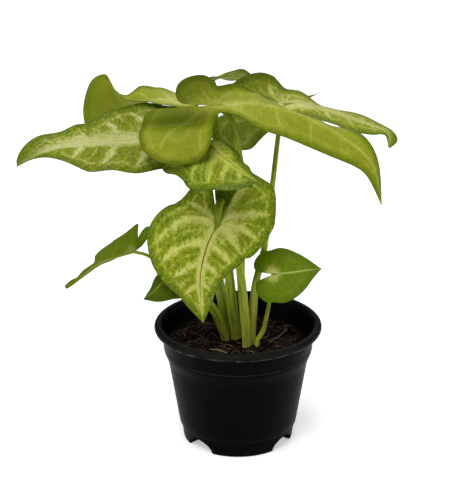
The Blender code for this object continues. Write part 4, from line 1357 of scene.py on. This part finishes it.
@dataclass
class Pot:
    """Squat moulded nursery pot: rolled rim, collar, tapering wall, small step and arched drainage dents."""
    rim_r: float = 65.0
    height: float = 96.0
    wall: float = 1.4
    lip_height: float = 6.0
    lip_slope: float = 3.2
    collar_drop: float = 31.0
    # Drop from the top of the pot to the painted highlight line
    mould_line_drop: float = 19.5
    collar_r: float = 58.2
    body_top_r: float = 54.2
    step_z: float = 12.5
    step_r: float = 45.7
    step_depth: float = 1.2
    foot_r: float = 43.0
    foot_round: float = 1.8
    dent_half_width: float = 12.9
    dent_height: float = 9.8
    dent_start: float = 26.0
    dent_angles: tuple = (45.0, 146.0, 225.0, 326.0)
    notch_angle: float = 272.0
    drain_r: float = 3.6
    drain_ring_r: float = 33.5
    drain_levels: tuple = (5.0, 16.0)
    steps: int = 192

    # Steps outward from the collar's radius, and up from the lip's lower side or from the collar's lower end
    UNDER_LIP = ((1.6, -0.15), (0.9, -0.6), (0.5, -1.1), (0.3, -1.9), (0.25, -7.6), (0.0, -8.1))
    COLLAR_FOOT = ((-0.15, 12.0), (-0.5, 9.6), (-1.1, 7.7), (-2.0, 5.7), (-2.9, 3.3), (-3.5, 1.3))
    NOTCH = (3.2, 1.9)
    NOTCH_DEPTH = 0.9
    PAST_WALL = 8.0
    DENT_SIDES, DRAIN_SIDES, NOTCH_SIDES = 64, 32, 24
    SHARP = 38.0

    def outer_r(self, z: float) -> float:
        """Outer radius of the wall below the collar."""
        top = self.height - self.collar_drop
        return self.step_r + (self.body_top_r - self.step_r) * (z - self.step_z) / (top - self.step_z)

    def inner_r(self, z: float) -> float:
        """Inner radius of the wall.

        Args:
            z: Height of the level.

        Returns:
            The radius in millimetres.
        """
        if z <= self.step_z:
            return self.foot_r - self.wall + (self.step_r - self.step_depth - self.foot_r) * z / self.step_z
        if z <= self.height - self.collar_drop:
            return self.outer_r(z) - self.wall
        share = (z - self.height + self.collar_drop) / (self.collar_drop - self.lip_height)
        return self.body_top_r - self.wall + (self.collar_r - self.body_top_r) * min(1.0, share)

    def outside(self) -> list[tuple[float, float]]:
        """Profile of the outer skin, from the axis over the rim and down to the axis again.

        Returns:
            (radius, height) points.
        """
        lip = self.lip_height / 2
        turns = [math.radians(a) for a in range(0, 181, 12)]
        crown = [(self.rim_r - lip + lip * math.sin(a), self.height - lip + lip * math.cos(a)) for a in turns]
        under = self.height - self.lip_height
        collar = self.height - self.collar_drop
        top = [(0.0, self.height), (self.rim_r - lip - 1.2, self.height)]
        below_lip = [(self.collar_r + out, under + up) for out, up in self.UNDER_LIP]
        foot_of_collar = [(self.collar_r + out, collar + up) for out, up in self.COLLAR_FOOT]
        foot_of_collar += [(self.body_top_r + 0.1, collar), (self.body_top_r - 0.15, collar - 1.5)]
        body = [(self.outer_r(z), z) for z in (60.0, 50.0, 40.0, 30.0, 20.0, self.step_z + 1.5)]
        below_step = self.step_r - self.step_depth
        step = [(self.step_r - 0.25, self.step_z + 0.6), (below_step + 0.1, self.step_z + 0.1),
                (below_step, self.step_z - 0.5)]
        foot = [(self.foot_r + 0.15, self.foot_round + 1.2), (self.foot_r, self.foot_round)]
        foot += [(self.foot_r - self.foot_round * (1 - math.cos(math.radians(a))),
                  self.foot_round * (1 - math.sin(math.radians(a)))) for a in (22.5, 45.0, 67.5, 90.0)]
        base = [(30.0, 0.0), (15.0, 0.0), (0.0, 0.0)]
        return top + crown + below_lip + foot_of_collar + body + step + foot + base

    def inside(self, top: float, inset: float, floor: float) -> list[tuple[float, float]]:
        """Profile of the hollow, less an inset.

        Args:
            top: Its highest level.
            inset: How far it stays off the wall.
            floor: Its lowest level.

        Returns:
            (radius, height) points.
        """
        under = self.height - self.lip_height
        collar = self.height - self.collar_drop
        heights = [z for z in (under, collar + 0.01, collar - 2.0, 50.0, 30.0, self.step_z + 1.0, self.step_z)
                   if z < top]
        points = [(0.0, top), (self.inner_r(top) - inset, top)]
        if top > self.height:
            mouth_r = self.inner_r(top) + self.lip_slope
            mouth = [(mouth_r, top), (mouth_r, self.height - 0.8), (mouth_r - 0.5, self.height - 1.7)]
            points = [(0.0, top), *mouth]
        points += [(self.inner_r(z) - inset, z) for z in heights]
        return points + [(self.inner_r(floor) - inset, floor), (0.0, floor)]

    def around(self, radius: float, angle: float, z: float = 0.0) -> Vector:
        """Point at a radius, an angle in degrees and a height."""
        turn = math.radians(angle)
        return Vector((radius * math.cos(turn), radius * math.sin(turn), z))

    def dents(self, spare: float, start: float) -> list[Shape]:
        """The lying half ovals under the drain holes.

        Args:
            spare: How much larger each one is all round.
            start: Distance from the axis at which they start.

        Returns:
            One closed shape for each dent.
        """
        oval = (self.dent_half_width + spare, self.dent_height + spare)
        return [rod(self.around(start, a), self.around(self.foot_r + self.PAST_WALL, a), oval, self.DENT_SIDES)
                for a in self.dent_angles]

    def build(self) -> None:
        """The pot as one piece."""
        hollow = cut(turned(self.inside(self.height + 2.0, 0.0, self.wall), self.steps),
                     self.dents(self.wall, self.dent_start - self.wall), "hollow")
        drains = [rod(*(self.around(self.drain_ring_r, a, z) for z in self.drain_levels), (self.drain_r,) * 2,
                      self.DRAIN_SIDES) for a in self.dent_angles]
        notch = rod(self.around(self.foot_r - self.NOTCH_DEPTH, self.notch_angle),
                    self.around(self.foot_r + self.PAST_WALL, self.notch_angle), self.NOTCH, self.NOTCH_SIDES)
        tools = [*self.dents(0.0, self.dent_start), hollow, *drains, notch]
        shape = cut(turned(self.outside(), self.steps), tools, "nursery_pot")
        add_piece("nursery_pot", shape, self.SHARP, [self.plastic()], "pot", "pot")

    def plastic(self) -> bpy.types.Material:
        """Satin black moulded plastic, dusty near the foot and scuffed on the rim, with painted highlights along
        the rim's edge and round the collar, and a painted sheen on the lip's top.

        Returns:
            The material.
        """
        material, graph, shader = new_material("black_moulded_plastic")
        place = graph.place()
        z = graph.parts(place)[2]
        clouds = graph.noise(place, 22.0, 3.0, 0.55)
        drawn = graph.noise(graph.place((1.0, 1.0, 6.0)), 60.0, 3.0, 0.6)
        colour = graph.mix(clouds, paint(2, 2, 1), paint(5, 5, 4))
        dust = graph.fade(graph.noise(place, 160.0, 4.0, 0.7), 0.52, 0.78)
        low = graph.fade(z, 0.0, 0.035, 1.0, 0.25)
        colour = graph.mix(graph.times(graph.times(dust, low), 0.22), colour, paint(50, 46, 40))
        scratches = graph.noise(graph.place((1.0, 1.0, 0.06)), 900.0, 1.0, 0.5)
        colour = graph.mix(graph.fade(scratches, 0.70, 0.76, 0.0, 0.12), colour, paint(52, 52, 50))
        # Rubbed wear and painted highlight: patches along the rim's outer edge painted light grey
        wear_and_highlight = graph.times(graph.fade(graph.apart(z, self.height * MM - 0.0042), 0.0003, 0.0014, 0.50, 0.0),
                           graph.fade(graph.noise(place, 130.0, 3.0, 0.6), 0.45, 0.70))
        outside = graph.fade(graph.length(graph.place((1.0, 1.0, 0.0))), (self.rim_r - 2.0) * MM,
                             (self.rim_r - 1.0) * MM)
        colour = graph.mix(graph.times(wear_and_highlight, outside), colour, paint(96, 96, 88))
        # Painted sheen: the lip's top painted lighter grey where light falls on it
        lip = graph.fade(z, (self.height - 4.5) * MM, (self.height - 2.0) * MM, 0.0, 0.55)
        colour = graph.mix(graph.times(lip, graph.fade(clouds, 0.3, 0.7, 0.6, 1.0)), colour, paint(34, 35, 32))
        # Painted highlight: a thin light grey line round the pot where the collar starts to narrow
        from_highlight_line = graph.apart(z, (self.height - self.mould_line_drop) * MM)
        colour = graph.mix(graph.fade(from_highlight_line, 0.0002, 0.0007, 0.45, 0.0), colour, paint(40, 41, 38))
        rough = graph.plus(graph.scaled(drawn, 0.16, 0.33), graph.times(dust, 0.15))
        grain = graph.scaled(graph.noise(place, 1400.0, 2.0), 0.5, graph.times(drawn, 0.6))
        dress(graph, shader, (colour, rough, grain), depth=0.00012, specular=0.02)
        return material


# Potting mix


@dataclass
class PottingMix:
    """Dark peat and coir up to a little below the rim, with crumbs and fibres lying on it."""
    pot: Pot = field(default_factory=Pot)
    top: float = 80.0
    fit_gap: float = 0.3
    hole_gap: float = 0.35
    steps: int = 200
    rings: int = 56
    crumbs: int = 900
    fibres: int = 420
    seed: int = 11

    STRAND_RINGS = 7
    SHARP, STRAND_SHARP = 60.0, 80.0
    HOLE_SIDES = 24

    # Half the side of the square that places are drawn from, and how far crumbs and fibres stay off the stalks
    CRUMB_REACH, CRUMB_CLEAR = 55, 0.6
    FIBRE_REACH, FIBRE_CLEAR = 54, 0.9

    # Radius of the crumbs in millimetres, the share of large ones and how much larger they are
    CRUMB_R = (0.45, 1.0)
    LARGE_SHARE, LARGE = 0.10, 2.0

    # Length, radius and turn at each ring of the fibres
    FIBRE_LENGTH, FIBRE_R, FIBRE_BEND = (5.0, 20.0), (0.10, 0.24), (-0.16, 0.16)

    # Both ends' x and y, radius and shade from 0 to 1 of the larger pieces
    TWIGS = ((-33, -3, -15, -9, 0.50, 0.60), (-30, 7, -22, -17, 0.42, 0.50), (-22, -25, -8, -26, 0.65, 0.93),
             (25, -6, 39, 20, 0.55, 0.90), (38, 27, 37, 14, 0.50, 0.88), (31, 3, 42, -1, 0.40, 0.70),
             (-46, 2, -38, 26, 0.45, 0.40), (8, -38, 19, -31, 0.45, 0.80), (-12, 34, 6, 39, 0.50, 0.55))

    def height(self, x: float, y: float) -> float:
        """Height of the surface's broad form at a point.

        Args:
            x: The point's place to the right.
            y: Its place to the back.

        Returns:
            The height in millimetres.
        """
        rolls = 0.6 * math.sin(0.11 * x + 0.7) * math.cos(0.13 * y - 0.4) + 0.35 * math.sin(0.23 * (x - y))
        mound = 1.3 * math.exp(-(x * x + y * y) / 900.0)
        return self.top + 0.96 * rolls - 0.022 * x - 0.012 * y + mound

    def rough_height(self, x: float, y: float) -> float:
        """Height of the surface with its crumbs and hollows.

        Args:
            x: The point's place to the right.
            y: Its place to the back.

        Returns:
            The height in millimetres.
        """
        coarse = noise.noise(Vector((x, y, 3.0)) * 0.13) * 1.5
        lumps = noise.noise(Vector((x, y, 9.0)) * 0.38) * 1.1
        crumb = abs(noise.noise(Vector((x, y, 17.0)) * 0.9)) * 1.0
        fine = noise.noise(Vector((x, y, 31.0)) * 2.1) * 0.35
        return self.height(x, y) + coarse + lumps + crumb + fine - 0.4

    def free(self, x: float, y: float, margin: float) -> bool:
        """Whether a point is clear of every stalk by a margin and inside the wall.

        Args:
            x: The point's place to the right.
            y: Its place to the back.
            margin: The margin in millimetres.

        Returns:
            True where it is clear.
        """
        if math.hypot(x, y) > self.pot.inner_r(self.top) - margin - 1.0:
            return False
        return all(math.hypot(x - leaf.foot[0], y - leaf.foot[1]) > leaf.foot_r + margin for leaf in LEAVES)

    def build_fill(self) -> None:
        """The filling itself, with a hole for each stalk."""
        profile = self.pot.inside(self.top - 3.0, self.fit_gap, self.pot.wall + self.fit_gap)
        top_r = profile[1][0]
        rings = [(top_r * k / self.rings, self.top) for k in range(self.rings + 1)]
        shape = turned([*rings, *profile[1:]], self.steps)
        for vertex in shape.verts:
            if vertex.co.z > self.top - 0.01:
                blend = min(1.0, (top_r + 0.01 - math.hypot(vertex.co.x, vertex.co.y)) / 2.0)
                rough = self.rough_height(vertex.co.x, vertex.co.y)
                vertex.co.z = self.height(vertex.co.x, vertex.co.y) * (1 - blend) + rough * blend
        bmesh.ops.triangulate(shape, faces=shape.faces)
        walls = self.pot.dents(self.pot.wall + self.fit_gap, self.pot.dent_start - self.pot.wall - self.fit_gap)
        low, high = Leaf.STALK_FOOT - self.fit_gap, self.top + 12.0
        holes = []
        for leaf in LEAVES:
            ends = (Vector((*leaf.foot, low)), Vector((*leaf.foot, high)))
            holes.append(rod(*ends, (leaf.foot_r + self.hole_gap,) * 2, self.HOLE_SIDES))
        shape = cut(shape, [*walls, *holes], "potting_mix")
        add_piece("potting_mix", shape, self.SHARP, [self.peat("damp_peat", 1.0)], "soil", "soil")

    def build_crumbs(self, draw: random.Random) -> None:
        """Loose crumbs that lie on the filling.

        Args:
            draw: Source of the random sizes and places.
        """
        shape = bmesh.new()
        placed = 0
        while placed < self.crumbs:
            radius = draw.uniform(*self.CRUMB_R) * (self.LARGE if draw.random() < self.LARGE_SHARE else 1.0)
            x, y = (draw.uniform(-self.CRUMB_REACH, self.CRUMB_REACH) for _ in range(2))
            if not self.free(x, y, radius + self.CRUMB_CLEAR):
                continue
            matrix = Matrix.Translation((x, y, self.rough_height(x, y) + radius * 0.25))
            matrix @= Matrix.Rotation(draw.uniform(0, math.tau), 4, Vector((draw.random(), draw.random(), 0.3)))
            matrix @= Matrix.Diagonal((1.0, draw.uniform(0.6, 1.0), draw.uniform(0.5, 0.9), 1.0))
            made = bmesh.ops.create_icosphere(shape, subdivisions=2, radius=radius, matrix=matrix)["verts"]
            middle = matrix.translation
            for vertex in made:
                swell = noise.noise(vertex.co * 1.3 + Vector((placed, 0.0, 0.0)))
                vertex.co = middle + (vertex.co - middle) * (1.0 + 0.35 * swell)
            placed += 1
        add_piece("loose_crumbs", shape, self.SHARP, [self.peat("loose_peat", 1.35)], "soil")

    def build_fibres(self, draw: random.Random) -> None:
        """Coir fibres that lie on the filling in loose bends, and a few larger twigs.

        Args:
            draw: Source of the random bends and places.
        """
        straight = self.straight_strand()
        shape = bmesh.new()
        tone = shape.verts.layers.float.new("tone")
        placed = 0
        while placed < self.fibres:
            x, y = (draw.uniform(-self.FIBRE_REACH, self.FIBRE_REACH) for _ in range(2))
            length, heading = draw.uniform(*self.FIBRE_LENGTH), draw.uniform(0, math.tau)
            bend, radius, shade = draw.uniform(*self.FIBRE_BEND), draw.uniform(*self.FIBRE_R), draw.random()
            points = []
            for _ in range(self.STRAND_RINGS + 1):
                lift = 0.45 + 0.5 * noise.noise(Vector((x * 0.3, y * 0.3, placed)))
                points.append(Vector((x, y, self.rough_height(x, y) + lift)))
                heading += bend
                x += math.cos(heading) * length / self.STRAND_RINGS
                y += math.sin(heading) * length / self.STRAND_RINGS
            if not all(self.free(point.x, point.y, self.FIBRE_CLEAR) for point in points):
                continue
            self.add_strand(shape, straight, points, radius, tone, shade)
            placed += 1
        for x0, y0, x1, y1, radius, shade in self.TWIGS:
            shares = [ring / self.STRAND_RINGS for ring in range(self.STRAND_RINGS + 1)]
            spots = [(x0 + (x1 - x0) * share, y0 + (y1 - y0) * share) for share in shares]
            points = [Vector((x, y, self.rough_height(x, y) + radius + 0.8)) for x, y in spots]
            self.add_strand(shape, straight, points, radius, tone, shade)
        bpy.data.meshes.remove(straight)
        add_piece("coir_fibres", shape, self.STRAND_SHARP, [self.coir()], "soil")

    def straight_strand(self) -> bpy.types.Mesh:
        """One closed strand of radius 1 whose rings stand at whole heights from 0 up.

        Returns:
            Its mesh.
        """
        shape = bmesh.new()
        bmesh.ops.create_cone(shape, cap_ends=True, segments=5, radius1=1.0, radius2=1.0,
                              depth=float(self.STRAND_RINGS))
        upright = [edge for edge in shape.edges if abs(edge.verts[0].co.z - edge.verts[1].co.z) > 1.0]
        bmesh.ops.subdivide_edges(shape, edges=upright, cuts=self.STRAND_RINGS - 1, use_grid_fill=True)
        bmesh.ops.translate(shape, vec=(0.0, 0.0, self.STRAND_RINGS / 2), verts=shape.verts)
        return closed_up(shape, "strand")

    def add_strand(self, shape: Shape, straight: bpy.types.Mesh, points: list[Vector], radius: float,
                   tone: bmesh.types.BMLayerItem, shade: float) -> None:
        """Add one strand bent along some points.

        Args:
            shape: Shape to add to.
            straight: The straight strand.
            points: One point for each of its rings.
            radius: Radius at its middle.
            tone: Layer that keeps its shade.
            shade: Its shade from 0 to 1.
        """
        before = len(shape.verts)
        shape.from_mesh(straight)
        shape.verts.ensure_lookup_table()
        for vertex in shape.verts[before:]:
            ring = round(vertex.co.z)
            ahead = points[min(ring + 1, self.STRAND_RINGS)] - points[max(ring - 1, 0)]
            thin = 0.45 + 0.55 * math.sin(math.pi * (ring + 0.5) / (self.STRAND_RINGS + 1))
            across = Vector((vertex.co.x, vertex.co.y, 0.0)) * radius * thin
            vertex.co = points[ring] + ahead.to_track_quat("Z", "Y") @ across
            vertex[tone] = shade

    def peat(self, name: str, brightness: float) -> bpy.types.Material:
        """Damp peat with brown coir dust in it.

        Args:
            name: Name of the material.
            brightness: How light it is against the damp filling.

        Returns:
            The material.
        """
        material, graph, shader = new_material(name)
        place = graph.place()
        lumps = graph.noise(place, 240.0, 4.0, 0.6)
        specks = graph.fade(graph.noise(place, 700.0, 3.0, 0.6), 0.55, 0.72)
        tones = (paint(7, 5, 4), paint(30, 19, 12))
        dark, brown = (tuple(value * brightness for value in tone) for tone in tones)
        colour = graph.mix(graph.fade(lumps, 0.40, 0.74), dark, brown)
        colour = graph.mix(graph.times(specks, 0.40), colour, paint(66, 46, 30))
        skin = (colour, graph.scaled(lumps, 0.25, 0.68), graph.noise(place, 900.0, 4.0, 0.7))
        dress(graph, shader, skin, depth=0.0005, specular=0.05)
        return material

    def coir(self) -> bpy.types.Material:
        """Coir: reddish brown fibres, some of them pale.

        Returns:
            The material.
        """
        material, graph, shader = new_material("coir")
        tone = graph.attribute("tone")
        colour = graph.mix(graph.fade(tone, 0.1, 0.7), paint(34, 20, 13), paint(84, 54, 34))
        colour = graph.mix(graph.fade(tone, 0.84, 0.98), colour, paint(166, 148, 112))
        flecks = graph.noise(graph.place(), 1500.0, 2.0)
        colour = graph.mix(graph.fade(flecks, 0.4, 0.7, 0.0, 0.4), colour, paint(40, 24, 18))
        graph.feed(shader["Base Color"], colour)
        graph.feed(shader["Roughness"], graph.scaled(flecks, 0.2, 0.65))
        return material

    def build(self) -> None:
        """Filling, crumbs and fibres."""
        self.build_fill()
        draw = random.Random(self.seed)
        self.build_crumbs(draw)
        self.build_fibres(draw)


# Studio


@dataclass
class Studio:
    """Pale floor, soft lights and the camera at the photograph's angle."""
    camera_place: Point = (0.0, -1.19127, 0.61645)
    pitch: float = 20.948
    lens: float = 123.4
    shift: float = -0.002
    floor_size: float = 12.0

    LIGHTS = (("key", (-0.25, -0.95, 1.6), 0.8, 17.0), ("top", (-0.10, 0.05, 2.0), 0.7, 15.0),
              ("left_side", (-1.5, -0.4, 0.6), 0.9, 4.5), ("right_side", (1.5, -0.4, 0.6), 0.9, 4.5),
              ("back", (0.2, 1.4, 1.3), 1.2, 6.0))
    AIM = Vector((0.0, 0.0, 0.16))

    def build(self) -> None:
        """Make the camera, the floor, the lights and the world."""
        data = bpy.data.cameras.new("view")
        data.lens = self.lens
        data.shift_x = self.shift
        data.clip_end = 50.0
        camera = bpy.data.objects.new("view", data)
        camera.location = self.camera_place
        camera.rotation_euler = (math.radians(90.0 - self.pitch), 0.0, 0.0)
        bpy.context.scene.collection.objects.link(camera)
        bpy.context.scene.camera = camera
        self.floor()
        for light in self.LIGHTS:
            self.light(*light)
        self.sky()
        bpy.context.scene.view_settings.view_transform = "Standard"

    def light(self, name: str, place: Point, size: float, power: float) -> None:
        """A square soft light that faces the plant.

        Args:
            name: Its name.
            place: Where it stands.
            size: Length of its side in metres.
            power: Watts.
        """
        data = bpy.data.lights.new(name, "AREA")
        data.size = size
        data.energy = power
        lamp = bpy.data.objects.new(name, data)
        lamp.location = place
        lamp.rotation_euler = (self.AIM - Vector(place)).to_track_quat("-Z", "Y").to_euler()
        bpy.context.scene.collection.objects.link(lamp)

    def floor(self) -> None:
        """A wide pale floor with a faint unevenness."""
        shape = bmesh.new()
        bmesh.ops.create_grid(shape, x_segments=1, y_segments=1, size=self.floor_size / 2)
        floor = add_object("floor", closed_up(shape, "floor"))
        material, graph, shader = new_material("pale_floor")
        graph.feed(shader["Base Color"], graph.mix(graph.noise(graph.place(), 3.0), paint(247, 247, 247),
                                                   paint(250, 250, 250)))
        shader["Roughness"].default_value = 0.9
        shader["Emission Color"].default_value = (1.0, 1.0, 1.0, 1.0)
        shader["Emission Strength"].default_value = 0.45
        floor.data.materials.append(material)

    def sky(self) -> None:
        """Even white surroundings, full white where the camera sees them."""
        world = bpy.data.worlds.new("white")
        world.use_nodes = True
        graph = Graph(world.node_tree)
        background = world.node_tree.nodes["Background"]
        background.inputs["Color"].default_value = (1.0, 1.0, 1.0, 1.0)
        seen = graph.node("ShaderNodeLightPath").outputs["Is Camera Ray"]
        graph.feed(background.inputs["Strength"], graph.scaled(seen, 0.80, 0.20))
        bpy.context.scene.world = world


def main() -> None:
    """Build the plant, its pot and the studio."""
    logging.basicConfig(level=logging.INFO, format="%(name)s: %(message)s")
    Studio().build()
    pot = Pot()
    pot.build()
    PottingMix(pot).build()
    blade, skin = BladePattern(), StalkSkin()
    for number, leaf in enumerate(LEAVES, 1):
        leaf.build(number, blade, skin)


if __name__ == "__main__":
    main()
